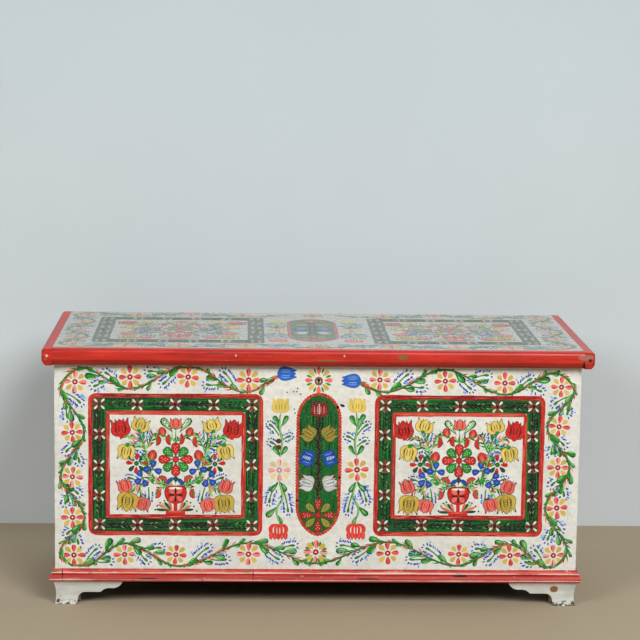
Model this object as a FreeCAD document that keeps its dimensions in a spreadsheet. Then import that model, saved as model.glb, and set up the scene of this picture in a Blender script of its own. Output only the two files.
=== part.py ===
import FreeCAD, Part
import os
import re
import Sketcher

# A painted pine chest with a flat lid. The case is dovetailed from four boards, stands on
# bracket feet under a beaded base moulding, and is closed by a lid of tongued planks with a
# moulding on its front and ends. Strap hinges at the back carry the lid, and a rim lock inside
# the front throws its bolt through a hasp under the lid. Lengths are in millimetres.
# X runs along the chest, Y from front to back, Z up from the floor.
DIMENSIONS = [
    # the case
    ("case_width", "1302"),
    ("case_depth", "592"),
    ("wall_height", "543"),
    ("wall_thickness", "24"),
    ("tail_count", "7"),
    ("tail_share", "0.62"),
    ("tail_slope_share", "0.16"),
    ("joint_clearance", "0.15"),
    ("bottom_thickness", "22"),
    ("tongue_length", "8"),
    ("tongue_thickness", "8"),
    # the lid and the moulding round it
    ("lid_thickness", "25"),
    ("lid_gap", "3"),
    ("lid_inset", "1"),
    ("strip_thickness", "26"),
    ("strip_height", "42"),
    ("strip_top_round", "10"),
    ("strip_under_drop", "15"),
    ("strip_under_run", "11"),
    ("strip_under_round", "24"),
    ("strip_end_round", "9"),
    # the two beads of the base moulding
    ("base_height", "31"),
    ("base_depth", "14"),
    ("bead_height", "16.5"),
    ("bead_round", "9.5"),
    ("bead_set", "5"),
    ("quirk_set", "9"),
    ("quirk_height", "1.5"),
    ("small_bead_height", "10"),
    ("small_bead_round", "6"),
    ("small_bead_set", "8"),
    # the bracket feet
    ("foot_height", "61"),
    ("foot_length", "172"),
    ("foot_thickness", "22"),
    ("foot_projection", "5"),
    ("foot_pad", "58"),
    ("foot_pad_inset", "4"),
    ("foot_pad_flare", "3"),
    ("foot_pad_rise", "12"),
    ("foot_hollow_round", "96"),
    ("foot_drop", "30"),
    ("foot_cove_run", "20"),
    ("foot_cove_round", "19"),
    ("foot_ogee_run", "27"),
    ("foot_ogee_rise", "10"),
    ("foot_ogee_round", "28"),
    ("foot_tip", "4"),
    ("block_width", "45"),
    ("block_clearance", "6"),
    # the strap hinges
    ("strap_thickness", "3"),
    ("strap_width", "38"),
    ("strap_share", "0.5"),
    ("strap_tip", "20"),
    ("strap_point", "24"),
    ("pin_radius", "3"),
    ("pin_clearance", "0.08"),
    ("pin_overhang", "4"),
    ("knuckle_clearance", "0.4"),
    ("eye_clearance", "0.4"),
    ("notch_clearance", "0.5"),
    ("leaf_height", "110"),
    ("hinge_inset", "240"),
    # the lock, placed from its keyhole, and the hasp it holds
    ("key_drop", "54"),
    ("keyhole_radius", "3.8"),
    ("keyhole_slot", "4.6"),
    ("keyhole_length", "10"),
    ("lock_width", "150"),
    ("lock_above", "50"),
    ("lock_below", "50"),
    ("plate_thickness", "2.5"),
    ("bolt_length", "78"),
    ("bolt_height", "14"),
    ("bolt_thickness", "5"),
    ("bolt_rise", "12"),
    ("bolt_gap", "4"),
    ("talon_width", "16"),
    ("talon_depth", "6"),
    ("staple_clearance", "0.4"),
    ("staple_wall", "2.2"),
    ("staple_width", "7"),
    ("staple_inset", "8"),
    ("spring_width", "6"),
    ("spring_thickness", "1.4"),
    ("spring_lift", "0.3"),
    ("spring_bend", "4"),
    ("spring_rise", "12"),
    ("ward_width", "40"),
    ("ward_depth", "17"),
    ("ward_above", "10"),
    ("ward_below", "17"),
    ("ward_wall", "2"),
    ("key_post_radius", "2"),
    ("hasp_offset", "30"),
    ("hasp_width", "42"),
    ("hasp_depth", "50"),
    ("hasp_thickness", "2.5"),
    ("lug_thickness", "6"),
    ("lug_gap", "2.2"),
    ("lug_wall", "3.2"),
    ("lug_clearance", "0.7"),
    # nails
    ("nail_width", "3"),
    ("nail_length", "48"),
    ("nail_head_width", "6.4"),
    ("nail_head_height", "1.4"),
    ("nail_proud", "0.6"),
    ("tack_length", "17"),
    ("lid_nail_first", "187"),
    ("lid_nail_last", "61"),
    ("lid_nail_count", "5"),
    ("lid_nail_drop", "19"),
    ("end_nail_inset", "70"),
    ("end_nail_count", "4"),
    ("base_nail_inset", "90"),
    ("base_nail_count", "6"),
    ("base_nail_rise", "9"),
    ("bottom_nail_inset", "130"),
    ("bottom_nail_count", "8"),
    ("strap_nail_first_share", "0.2"),
    ("strap_nail_pitch_share", "0.285"),
    ("strap_nail_count", "3"),
    ("leaf_nail_first", "24"),
    ("leaf_nail_pitch", "32"),
    ("leaf_nail_count", "3"),
    ("lock_nail_inset", "9"),
    ("hasp_nail_inset", "8"),
]
ALIASES = {alias for alias, value in DIMENSIONS}
NAIL_HEAD_TAPER = -55
QUARTER_TURN = 90
NEAR = 1e-6

doc = FreeCAD.newDocument("painted_chest")
sheet = doc.addObject("Spreadsheet::Sheet", "dims")
for row, (alias, value) in enumerate(DIMENSIONS, 1):
    sheet.set(f"A{row}", alias)
    sheet.set(f"B{row}", value)
    sheet.setAlias(f"B{row}", alias)
doc.recompute()

# Places that follow from the sizes above. The front face and the back face of the case, the
# floor of the case, the rim that the lid lies on, and the axis of the hinges.
EYE = "(pin_radius + pin_clearance + strap_thickness)"
AXIS_OUT = f"(eye_clearance + {EYE})"
DEPTH = f"(strip_thickness + lid_gap + case_depth + {AXIS_OUT} + {EYE})"
FRONT = f"(strip_thickness + lid_gap - {DEPTH} / 2)"
BACK = f"({FRONT} + case_depth)"
LID_FRONT = f"({FRONT} - lid_gap)"
LID_BACK = f"({BACK} - lid_inset)"
LID_DEPTH = "(case_depth + lid_gap - lid_inset)"
HALF = "(case_width / 2)"
LID_HALF = "(case_width / 2 + lid_gap)"
INNER_HALF = "(case_width / 2 - wall_thickness)"
CASE_FLOOR = "(foot_height + bottom_thickness)"
RIM = f"({CASE_FLOOR} + wall_height)"
AXIS_Y = f"({BACK} + {AXIS_OUT})"
AXIS_Z = f"({RIM} - {EYE})"
KEY_Z = f"({RIM} - key_drop)"
LOCK_Y = f"({FRONT} + wall_thickness)"
HINGE_X = f"({HALF} - hinge_inset)"
KNUCKLE = "(strap_width / 3 - knuckle_clearance)"
STRAP = "(strap_share * case_depth)"
TAIL_PITCH = "(wall_height / tail_count)"
TAIL_ROOT = f"(tail_share * {TAIL_PITCH})"
TAIL_TIP = f"({TAIL_ROOT} + 2 * tail_slope_share * wall_thickness)"
BOLT_Y = "(plate_thickness + lug_gap + lug_wall + lug_clearance)"
BOLT_NOSE = "(lug_thickness / 2 + bolt_gap - hasp_offset)"


def bound(text):
    """The same sum with each size read from the sheet."""
    return re.sub(r"[a-z_]+", lambda m: "dims." + m.group() if m.group() in ALIASES else m.group(), text)


def number(text):
    return float(sheet.evalExpression(bound(text)))


def place(thing, spot, turn=0, tip=0):
    """Tip a piece about X, turn it about Z and put its origin at a spot."""
    upright = FreeCAD.Rotation(FreeCAD.Vector(0, 0, 1), turn)
    thing.Placement = FreeCAD.Placement(
        FreeCAD.Vector(), upright * FreeCAD.Rotation(FreeCAD.Vector(1, 0, 0), tip)
    )
    for axis, text in zip("xyz", spot):
        thing.setExpression(f"Placement.Base.{axis}", bound(text))


def body(label, spot, turn=0, tip=0):
    made = doc.addObject("PartDesign::Body", label)
    made.Label = label
    place(made, spot, turn, tip)
    return made


def datum(owner, role):
    return next(f for f in owner.Origin.OriginFeatures if f.Role == role)


def sketch(owner, plane, offset="0"):
    made = owner.newObject("Sketcher::SketchObject", f"{owner.Label}_sketch")
    made.AttachmentSupport = [(datum(owner, plane), "")]
    made.MapMode = "FlatFace"
    if offset != "0":
        made.setExpression("AttachmentOffset.Base.z", bound(offset))
    return made


def fix(drawn, edge, end, spot):
    """Hold a point of a sketch at its two distances from the origin."""
    for kind, text, axis in (("DistanceX", spot[0], -2), ("DistanceY", spot[1], -1)):
        value = number(text)
        if abs(value) < NEAR:
            drawn.addConstraint(Sketcher.Constraint("PointOnObject", edge, end, axis))
        else:
            at = drawn.addConstraint(Sketcher.Constraint(kind, -1, 1, edge, end, value))
            drawn.setExpression(f"Constraints[{at}]", bound(text))


def outline(drawn, corners, arcs=None):
    """A closed outline. An entry of arcs bends the edge after that corner to a radius,
    bulging to the left of the way round (1) or to the right (-1)."""
    arcs = arcs or {}
    spots = [FreeCAD.Vector(number(x), number(y), 0) for x, y in corners]
    edges = []
    for i, start in enumerate(spots):
        stop = spots[(i + 1) % len(spots)]
        if i not in arcs:
            edge = drawn.addGeometry(Part.LineSegment(start, stop), False)
            edges.append((edge, 1, 2))
            continue
        text, side = arcs[i]
        radius = number(text)
        chord = stop - start
        rise = radius - (radius**2 - chord.Length**2 / 4) ** 0.5
        left = FreeCAD.Vector(-chord.y, chord.x, 0).normalize()
        crown = (start + stop) / 2 + left * (side * rise)
        ends = (stop, start) if side > 0 else (start, stop)
        edge = drawn.addGeometry(Part.Arc(ends[0], crown, ends[1]), False)
        edges.append((edge, 2, 1) if side > 0 else (edge, 1, 2))
        at = drawn.addConstraint(Sketcher.Constraint("Radius", edge, radius))
        drawn.setExpression(f"Constraints[{at}]", bound(text))
    for i, (edge, first, last) in enumerate(edges):
        after = edges[(i + 1) % len(edges)]
        drawn.addConstraint(Sketcher.Constraint("Coincident", edge, last, after[0], after[1]))
        fix(drawn, edge, first, corners[i])


def rectangle(drawn, x_low, x_high, y_low, y_high):
    outline(drawn, [(x_low, y_low), (x_high, y_low), (x_high, y_high), (x_low, y_high)])


def circle(drawn, x, y, radius):
    spot = FreeCAD.Vector(number(x), number(y), 0)
    edge = drawn.addGeometry(Part.Circle(spot, FreeCAD.Vector(0, 0, 1), number(radius)), False)
    at = drawn.addConstraint(Sketcher.Constraint("Radius", edge, number(radius)))
    drawn.setExpression(f"Constraints[{at}]", bound(radius))
    fix(drawn, edge, 3, (x, y))


def pad(owner, drawn, length, backwards=False):
    made = owner.newObject("PartDesign::Pad", f"{owner.Label}_pad")
    made.Profile = drawn
    made.setExpression("Length", bound(length))
    made.Reversed = backwards
    doc.recompute()
    return made


def pocket(owner, drawn, depth, backwards=False):
    before = owner.Shape.Volume
    made = owner.newObject("PartDesign::Pocket", f"{owner.Label}_pocket")
    made.Profile = drawn
    made.setExpression("Length", bound(depth))
    made.Reversed = backwards
    doc.recompute()
    if owner.Shape.Volume >= before:
        raise RuntimeError(f"a pocket of {owner.Label} takes nothing away")
    return made


def row(owner, feature, axis, length, count):
    made = owner.newObject("PartDesign::LinearPattern", f"{owner.Label}_row")
    made.Originals = [feature]
    made.Direction = (datum(owner, axis), [""])
    made.setExpression("Length", bound(length))
    made.setExpression("Occurrences", bound(count))
    owner.Tip = made
    doc.recompute()
    return made


def group(label, members):
    made = doc.addObject("Part::Compound", label)
    made.Label = label
    made.Links = members
    return made


# The front and back boards carry the dovetails. Each row of tails spreads towards the ends, so
# the boards can't pull away from the ends of the case.
def tailed_board(label, front_y):
    board = body(label, ("0", front_y, CASE_FLOOR))
    shoulder = f"({INNER_HALF} - joint_clearance)"
    core = sketch(board, "XZ_Plane")
    rectangle(core, f"-{shoulder}", shoulder, "0", "wall_height")
    pad(board, core, "wall_thickness", backwards=True)
    tails = sketch(board, "XZ_Plane")
    middle = f"({TAIL_PITCH} / 2)"
    for side in ("", "-"):
        outline(tails, [
            (f"{side}{shoulder}", f"{middle} - {TAIL_ROOT} / 2"),
            (f"{side}{HALF}", f"{middle} - {TAIL_TIP} / 2"),
            (f"{side}{HALF}", f"{middle} + {TAIL_TIP} / 2"),
            (f"{side}{shoulder}", f"{middle} + {TAIL_ROOT} / 2"),
        ])
    tail = pad(board, tails, "wall_thickness", backwards=True)
    row(board, tail, "Z_Axis", f"wall_height - {TAIL_PITCH}", "tail_count")
    return board


front_board = tailed_board("front_board", FRONT)
bow = sketch(front_board, "XZ_Plane")
circle(bow, "0", "wall_height - key_drop", "keyhole_radius")
pocket(front_board, bow, "wall_thickness")
slot = sketch(front_board, "XZ_Plane")
key_height = "(wall_height - key_drop)"
rectangle(slot, "-keyhole_slot / 2", "keyhole_slot / 2", f"{key_height} - keyhole_length", key_height)
pocket(front_board, slot, "wall_thickness")

# The top edge of the back board is notched where the hinge straps cross it.
back_board = tailed_board("back_board", f"{BACK} - wall_thickness")
notches = sketch(back_board, "XZ_Plane")
half_notch = "(strap_width / 2 + notch_clearance)"
for side in ("", "-"):
    rectangle(
        notches,
        f"{side}{HINGE_X} - {half_notch}",
        f"{side}{HINGE_X} + {half_notch}",
        "wall_height - strap_thickness - notch_clearance",
        "wall_height",
    )
pocket(back_board, notches, "wall_thickness")


# The end boards carry the pins, cut to the tails with a little glue room all round.
def pinned_board(label, x, turn):
    board = body(label, (x, f"{FRONT} + case_depth / 2", CASE_FLOOR), turn)
    plan = sketch(board, "XY_Plane")
    rectangle(plan, "0", "wall_thickness", "-case_depth / 2", "case_depth / 2")
    pad(board, plan, "wall_height")
    middle = f"({TAIL_PITCH} / 2)"
    root = f"({TAIL_ROOT} / 2 + joint_clearance)"
    tip = f"({TAIL_TIP} / 2 + joint_clearance)"
    socket_depth = "(wall_thickness + joint_clearance)"
    for offset, backwards in (("case_depth / 2", False), ("-case_depth / 2", True)):
        socket = sketch(board, "XZ_Plane", offset)
        outline(socket, [
            ("0", f"{middle} - {tip}"),
            ("wall_thickness", f"{middle} - {root}"),
            ("wall_thickness", f"{middle} + {root}"),
            ("0", f"{middle} + {tip}"),
        ])
        cut = pocket(board, socket, socket_depth, backwards)
        row(board, cut, "Z_Axis", f"wall_height - {TAIL_PITCH}", "tail_count")
    return board


left_end_board = pinned_board("left_end_board", f"-{HALF}", 0)
right_end_board = pinned_board("right_end_board", HALF, 2 * QUARTER_TURN)


# Planks joined by a tongue on the rear edge and a groove in the front edge.
def plank(label, spot, half_length, width, thickness, tongue, groove):
    board = body(label, spot)
    end = sketch(board, "YZ_Plane", f"-{half_length}")
    low = f"({thickness} / 2 - tongue_thickness / 2)"
    high = f"({thickness} / 2 + tongue_thickness / 2)"
    corners = [("0", "0"), (width, "0")]
    if tongue:
        reach = f"{width} + tongue_length"
        corners += [(width, low), (reach, low), (reach, high), (width, high)]
    corners += [(width, thickness), ("0", thickness)]
    if groove:
        reach = "tongue_length + joint_clearance"
        over = f"{high} + joint_clearance"
        under = f"{low} - joint_clearance"
        corners += [("0", over), (reach, over), (reach, under), ("0", under)]
    outline(end, corners)
    pad(board, end, f"2 * {half_length}")
    return board


bottom_planks = []
lid_planks = []
for index, name in enumerate(("front", "middle", "rear")):
    tongue = name != "rear"
    groove = name != "front"
    bottom_planks.append(plank(
        f"bottom_{name}_plank",
        ("0", f"{FRONT} + {index} * case_depth / 3", "foot_height"),
        HALF, "(case_depth / 3)", "bottom_thickness", tongue, groove,
    ))
    lid_planks.append(plank(
        f"lid_{name}_plank",
        ("0", f"{LID_FRONT} + {index} * {LID_DEPTH} / 3", RIM),
        LID_HALF, f"({LID_DEPTH} / 3)", "lid_thickness", tongue, groove,
    ))


# A length of moulding runs along X with its outer face towards -Y and is turned to its place.
def lid_moulding(label, spot, turn, length, rounded_end=None):
    strip = body(label, spot, turn)
    end = sketch(strip, "YZ_Plane")
    outline(
        end,
        [
            ("strip_thickness", "0"),
            ("strip_thickness", "strip_height"),
            ("strip_top_round", "strip_height"),
            ("0", "strip_height - strip_top_round"),
            ("0", "strip_under_drop"),
            ("strip_under_run", "0"),
        ],
        {2: ("strip_top_round", -1), 4: ("strip_under_round", -1)},
    )
    pad(strip, end, length)
    if rounded_end is not None:
        at_start = rounded_end == "0"
        worn = sketch(strip, "XY_Plane")
        inwards = "strip_end_round" if at_start else f"{rounded_end} - strip_end_round"
        outline(
            worn,
            [(rounded_end, "0"), (rounded_end, "strip_end_round"), (inwards, "0")],
            {1: ("strip_end_round", -1 if at_start else 1)},
        )
        pocket(strip, worn, "strip_height", backwards=True)
    return strip


strip_z = f"{RIM} + lid_thickness - strip_height"
strip_front = f"{LID_FRONT} - strip_thickness"
strip_out = f"({LID_HALF} + strip_thickness)"
strip_side = f"({LID_DEPTH} + strip_thickness)"
lid_mouldings = [
    lid_moulding("lid_front_moulding", (f"-{LID_HALF}", strip_front, strip_z), 0, f"2 * {LID_HALF}"),
    lid_moulding("lid_left_moulding", (f"-{strip_out}", LID_BACK, strip_z), -QUARTER_TURN,
                 strip_side, strip_side),
    lid_moulding("lid_right_moulding", (strip_out, strip_front, strip_z), QUARTER_TURN,
                 strip_side, "0"),
]


# The base moulding is a large bead under a small one, with a sunk quirk between, mitred at the
# front corners and square at the back.
def base_moulding(label, spot, turn, length, mitred_start, mitred_end):
    strip = body(label, spot, turn)
    end = sketch(strip, "YZ_Plane")
    quirk_top = "bead_height + quirk_height"
    bead_top = f"{quirk_top} + small_bead_height"
    outline(
        end,
        [
            ("base_depth", "0"),
            ("base_depth", "base_height"),
            ("small_bead_set", bead_top),
            ("small_bead_set", quirk_top),
            ("quirk_set", quirk_top),
            ("quirk_set", "bead_height"),
            ("bead_set", "bead_height"),
            ("bead_set", "0"),
        ],
        {2: ("small_bead_round", -1), 6: ("bead_round", -1)},
    )
    pad(strip, end, length)
    for wanted, outer, inner in (
        (mitred_start, "0", "base_depth"),
        (mitred_end, length, f"{length} - base_depth"),
    ):
        if wanted:
            mitre = sketch(strip, "XY_Plane")
            outline(mitre, [(outer, "0"), (outer, "base_depth"), (inner, "base_depth")])
            pocket(strip, mitre, "base_height", backwards=True)
    return strip


base_out = f"({HALF} + base_depth)"
base_front = f"{FRONT} - base_depth"
base_side = "(case_depth + base_depth)"
base_mouldings = [
    base_moulding("base_front_moulding", (f"-{base_out}", base_front, "foot_height"), 0,
                  f"2 * {base_out}", True, True),
    base_moulding("base_left_moulding", (f"-{base_out}", BACK, "foot_height"), -QUARTER_TURN,
                  base_side, False, True),
    base_moulding("base_right_moulding", (base_out, base_front, "foot_height"), QUARTER_TURN,
                  base_side, True, False),
]


# A bracket of a foot: a board with a hollowed outer face, sawn below to a pad, a cove, a level
# run and an ogee, and mitred where it meets its partner. The corner is at the start of the
# length on one hand and at its end on the other.
def foot_bracket(label, spot, turn, corner_first):
    bracket = body(label, spot, turn)
    end = sketch(bracket, "YZ_Plane")
    outline(
        end,
        [
            ("foot_thickness", "0"),
            ("foot_thickness", "foot_height"),
            ("0", "foot_height"),
            ("foot_pad_inset", "0"),
        ],
        {2: ("foot_hollow_round", 1)},
    )
    pad(bracket, end, "foot_length")

    def along(text):
        return text if corner_first else f"foot_length - ({text})"

    hand = 1 if corner_first else -1
    level = "(foot_height - foot_drop)"
    sawn = sketch(bracket, "XZ_Plane")
    outline(
        sawn,
        [
            (along("foot_pad"), "0"),
            (along("foot_pad + foot_pad_flare"), "foot_pad_rise"),
            (along("foot_pad + foot_cove_run"), level),
            (along("foot_length - 2 * foot_ogee_run"), level),
            (along("foot_length - foot_ogee_run"), f"{level} + foot_ogee_rise"),
            (along("foot_length"), "foot_height - foot_tip"),
            (along("foot_length"), "0"),
        ],
        {1: ("foot_cove_round", hand), 3: ("foot_ogee_round", hand), 4: ("foot_ogee_round", -hand)},
    )
    pocket(bracket, sawn, "foot_thickness")
    mitre = sketch(bracket, "XY_Plane")
    outline(mitre, [
        (along("0"), "0"),
        (along("0"), "foot_thickness"),
        (along("foot_thickness"), "foot_thickness"),
    ])
    pocket(bracket, mitre, "foot_height", backwards=True)
    return bracket


foot_x = f"({HALF} + foot_projection)"
foot_front = f"({FRONT} - foot_projection)"
foot_back = f"({BACK} + foot_projection)"
feet = []
blocks = []
for name, x_sign, y_edge, x_in, y_in, turn in (
    ("front_left", "-", foot_front, 1, 1, 0),
    ("front_right", "", foot_front, -1, 1, 1),
    ("rear_right", "", foot_back, -1, -1, 2),
    ("rear_left", "-", foot_back, 1, -1, 3),
):
    corner_x = f"{x_sign}{foot_x}"
    face = name.split("_")[0]
    lengthwise = face if turn % 2 == 0 else "side"
    crosswise = "side" if turn % 2 == 0 else face
    feet.append(foot_bracket(
        f"{name}_foot_{lengthwise}", (corner_x, y_edge, "0"), turn * QUARTER_TURN, True,
    ))
    shift_x = f"{corner_x} + {x_in} * foot_length" if turn % 2 else corner_x
    shift_y = y_edge if turn % 2 else f"{y_edge} + {y_in} * foot_length"
    feet.append(foot_bracket(
        f"{name}_foot_{crosswise}", (shift_x, shift_y, "0"), (turn - 1) * QUARTER_TURN, False,
    ))
    # A glue block stiffens each corner behind the brackets and stops short of the floor.
    block = doc.addObject("Part::Box", f"{name}_foot_block")
    block.Label = f"{name}_foot_block"
    for size in ("Length", "Width"):
        block.setExpression(size, bound("block_width"))
    block.setExpression("Height", bound("foot_height - block_clearance"))
    near = "foot_thickness" if x_in > 0 else "-foot_thickness - block_width"
    deep = "foot_thickness" if y_in > 0 else "-foot_thickness - block_width"
    place(block, (f"{corner_x} + {near}", f"{y_edge} + {deep}", "block_clearance"))
    blocks.append(block)


# A strap hinge has a leaf down the back of the case with two outer knuckles, a strap under the
# lid with the middle knuckle, and a pin through all three. Its own origin is on the pin.
def hinge(side, x):
    spot = (x, AXIS_Y, AXIS_Z)
    bore = "pin_radius + pin_clearance"
    half_width = "(strap_width / 2)"
    half_knuckle = f"({KNUCKLE} / 2)"

    leaf = body(f"hinge_{side}_leaf", spot)
    flat = sketch(leaf, "YZ_Plane", f"-{half_width}")
    rectangle(flat, f"-{AXIS_OUT}", f"strap_thickness - {AXIS_OUT}", "-leaf_height", "0")
    pad(leaf, flat, "strap_width")
    rolled = sketch(leaf, "YZ_Plane", f"-{half_width}")
    circle(rolled, "0", "0", EYE)
    pad(leaf, rolled, "strap_width")
    drilled = sketch(leaf, "YZ_Plane", f"-{half_width}")
    circle(drilled, "0", "0", bore)
    pocket(leaf, drilled, "strap_width", backwards=True)
    room = f"({half_knuckle} + knuckle_clearance)"
    parted = sketch(leaf, "YZ_Plane", f"-{room}")
    reach = f"({AXIS_OUT} + knuckle_clearance)"
    rectangle(parted, f"-{reach}", reach, f"-{reach}", reach)
    pocket(leaf, parted, f"2 * {room}", backwards=True)

    strap = body(f"hinge_{side}_strap", spot)
    plan = sketch(strap, "XY_Plane", f"{EYE} - strap_thickness")
    shoulder = f"-{EYE} - knuckle_clearance"
    outline(plan, [
        (f"-{half_knuckle}", "0"),
        (f"-{half_knuckle}", shoulder),
        (f"-{half_width}", shoulder),
        ("-strap_tip / 2", f"strap_point - {STRAP}"),
        ("0", f"-{STRAP}"),
        ("strap_tip / 2", f"strap_point - {STRAP}"),
        (half_width, shoulder),
        (half_knuckle, shoulder),
        (half_knuckle, "0"),
    ])
    pad(strap, plan, "strap_thickness")
    rolled = sketch(strap, "YZ_Plane", f"-{half_knuckle}")
    circle(rolled, "0", "0", EYE)
    pad(strap, rolled, KNUCKLE)
    drilled = sketch(strap, "YZ_Plane", f"-{half_knuckle}")
    circle(drilled, "0", "0", bore)
    pocket(strap, drilled, KNUCKLE, backwards=True)

    pin = body(f"hinge_{side}_pin", spot)
    round_end = sketch(pin, "YZ_Plane", f"-{half_width} - pin_overhang")
    circle(round_end, "0", "0", "pin_radius")
    pad(pin, round_end, "strap_width + 2 * pin_overhang")
    return leaf, strap, pin


hinges = [*hinge("left", f"-{HINGE_X}"), *hinge("right", HINGE_X)]

# The lock is built from the middle of its keyhole on the inner face of the front board.
lock_spot = ("0", LOCK_Y, KEY_Z)
lock_plate = body("lock_plate", lock_spot)
face = sketch(lock_plate, "XZ_Plane")
rectangle(face, "-lock_width / 2", "lock_width / 2", "-lock_below", "lock_above")
pad(lock_plate, face, "plate_thickness", backwards=True)
bow = sketch(lock_plate, "XZ_Plane")
circle(bow, "0", "0", "keyhole_radius")
pocket(lock_plate, bow, "plate_thickness")
slot = sketch(lock_plate, "XZ_Plane")
rectangle(slot, "-keyhole_slot / 2", "keyhole_slot / 2", "-keyhole_length", "0")
pocket(lock_plate, slot, "plate_thickness")

# The bolt has a talon in its lower edge, in which the bit of the key turns and pushes it along.
bolt_top = "(bolt_rise + bolt_height)"
bolt_tail = f"({BOLT_NOSE} + bolt_length)"
talon_roof = "bolt_rise + talon_depth"
lock_bolt = body("lock_bolt", lock_spot)
side_view = sketch(lock_bolt, "XZ_Plane", f"-{BOLT_Y}")
outline(side_view, [
    (BOLT_NOSE, "bolt_rise"),
    ("-talon_width / 2", "bolt_rise"),
    ("-talon_width / 2", talon_roof),
    ("talon_width / 2", talon_roof),
    ("talon_width / 2", "bolt_rise"),
    (bolt_tail, "bolt_rise"),
    (bolt_tail, bolt_top),
    (BOLT_NOSE, bolt_top),
])
pad(lock_bolt, side_view, "bolt_thickness", backwards=True)

# Two staples riveted to the plate guide the bolt, one near each end of it.
lock_staples = body("lock_staples", lock_spot)
lock_staples.AllowCompound = True
first_staple = f"{BOLT_NOSE} + staple_inset"
inside_low = "bolt_rise - staple_clearance"
inside_high = f"{bolt_top} + staple_clearance"
inside_out = f"{BOLT_Y} + bolt_thickness + staple_clearance"
hoop = sketch(lock_staples, "YZ_Plane", first_staple)
outline(hoop, [
    ("plate_thickness", f"{inside_low} - staple_wall"),
    (f"{inside_out} + staple_wall", f"{inside_low} - staple_wall"),
    (f"{inside_out} + staple_wall", f"{inside_high} + staple_wall"),
    ("plate_thickness", f"{inside_high} + staple_wall"),
    ("plate_thickness", inside_high),
    (inside_out, inside_high),
    (inside_out, inside_low),
    ("plate_thickness", inside_low),
])
one_staple = pad(lock_staples, hoop, "staple_width")
staple_pitch = "bolt_length - 2 * staple_inset - staple_width"
row(lock_staples, one_staple, "X_Axis", staple_pitch, "2")

# A bent leaf spring stands on the plate and presses on the bolt between the staples.
lock_spring = body("lock_spring", lock_spot)
leaf_view = sketch(lock_spring, "XZ_Plane", "-plate_thickness")
spring_low = f"{bolt_top} + spring_lift"
spring_bend_x = "(talon_width / 2 + spring_bend)"
spring_end_x = "(lock_width / 2 - 2 * lock_nail_inset)"
outline(leaf_view, [
    ("-talon_width / 2", f"{spring_low} + spring_bend"),
    (spring_bend_x, spring_low),
    (spring_end_x, f"{spring_low} + spring_rise"),
    (spring_end_x, f"{spring_low} + spring_rise + spring_thickness"),
    (spring_bend_x, f"{spring_low} + spring_thickness"),
    ("-talon_width / 2", f"{spring_low} + spring_bend + spring_thickness"),
])
pad(lock_spring, leaf_view, f"{BOLT_Y} + spring_width - plate_thickness", backwards=True)

# A bridge over the keyhole holds the post that the pipe of the key slides on.
lock_ward_cap = body("lock_ward_cap", lock_spot)
bridge = sketch(lock_ward_cap, "XY_Plane", "-ward_below")
half_ward = "(ward_width / 2)"
inner_ward = f"({half_ward} - ward_wall)"
ward_roof = "(plate_thickness + ward_depth - ward_wall)"
outline(bridge, [
    (f"-{half_ward}", "plate_thickness"),
    (f"-{inner_ward}", "plate_thickness"),
    (f"-{inner_ward}", ward_roof),
    (inner_ward, ward_roof),
    (inner_ward, "plate_thickness"),
    (half_ward, "plate_thickness"),
    (half_ward, "plate_thickness + ward_depth"),
    (f"-{half_ward}", "plate_thickness + ward_depth"),
])
pad(lock_ward_cap, bridge, "ward_below + ward_above")
lock_key_post = body("lock_key_post", lock_spot)
post_end = sketch(lock_key_post, "XZ_Plane", "-plate_thickness")
circle(post_end, "0", "0", "key_post_radius")
pad(lock_key_post, post_end, f"{ward_roof} - plate_thickness", backwards=True)

# The hasp hangs from a plate under the lid. The eye in its lug lies in the way of the bolt.
lid_hasp = body("lid_hasp", lock_spot)
lug_front = "(plate_thickness + lug_gap)"
eye_depth = "(bolt_thickness + 2 * lug_clearance)"
lug_back = f"({lug_front} + 2 * lug_wall + {eye_depth})"
hasp_under = "(key_drop - hasp_thickness)"
top_view = sketch(lid_hasp, "XY_Plane", hasp_under)
rectangle(top_view, "-hasp_offset - hasp_width / 2", "hasp_width / 2 - hasp_offset",
          lug_front, f"{lug_front} + hasp_depth")
pad(lid_hasp, top_view, "hasp_thickness")
lug_side = "-hasp_offset - lug_thickness / 2"
lug = sketch(lid_hasp, "YZ_Plane", lug_side)
rectangle(lug, lug_front, lug_back, "bolt_rise - lug_clearance - lug_wall", hasp_under)
pad(lid_hasp, lug, "lug_thickness")
eye = sketch(lid_hasp, "YZ_Plane", lug_side)
rectangle(eye, f"{lug_front} + lug_wall", f"{lug_front} + lug_wall + {eye_depth}",
          "bolt_rise - lug_clearance", f"{bolt_top} + lug_clearance")
pocket(lid_hasp, eye, "lug_thickness", backwards=True)


# A row of wrought nails, each with a square shank and a low head hammered to a blunt point.
def nail_row(label, spot, turn, tip, length, proud, axis, reach, count):
    nails = body(label, spot, turn, tip)
    nails.AllowCompound = True
    neck = f"({proud} - nail_head_height)"
    point = sketch(nails, "XY_Plane", f"-{length}")
    rectangle(point, "-nail_width / 2", "nail_width / 2", "-nail_width / 2", "nail_width / 2")
    shank = pad(nails, point, f"{length} + {neck}")
    half_head = "nail_head_width / 2"
    collar = sketch(nails, "XY_Plane", neck)
    rectangle(collar, f"-{half_head}", half_head, f"-{half_head}", half_head)
    head = pad(nails, collar, "nail_head_height")
    head.TaperAngle = NAIL_HEAD_TAPER
    doc.recompute()
    rows = row(nails, shank, axis, reach, count)
    rows.Originals = [shank, head]
    doc.recompute()
    return nails


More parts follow.
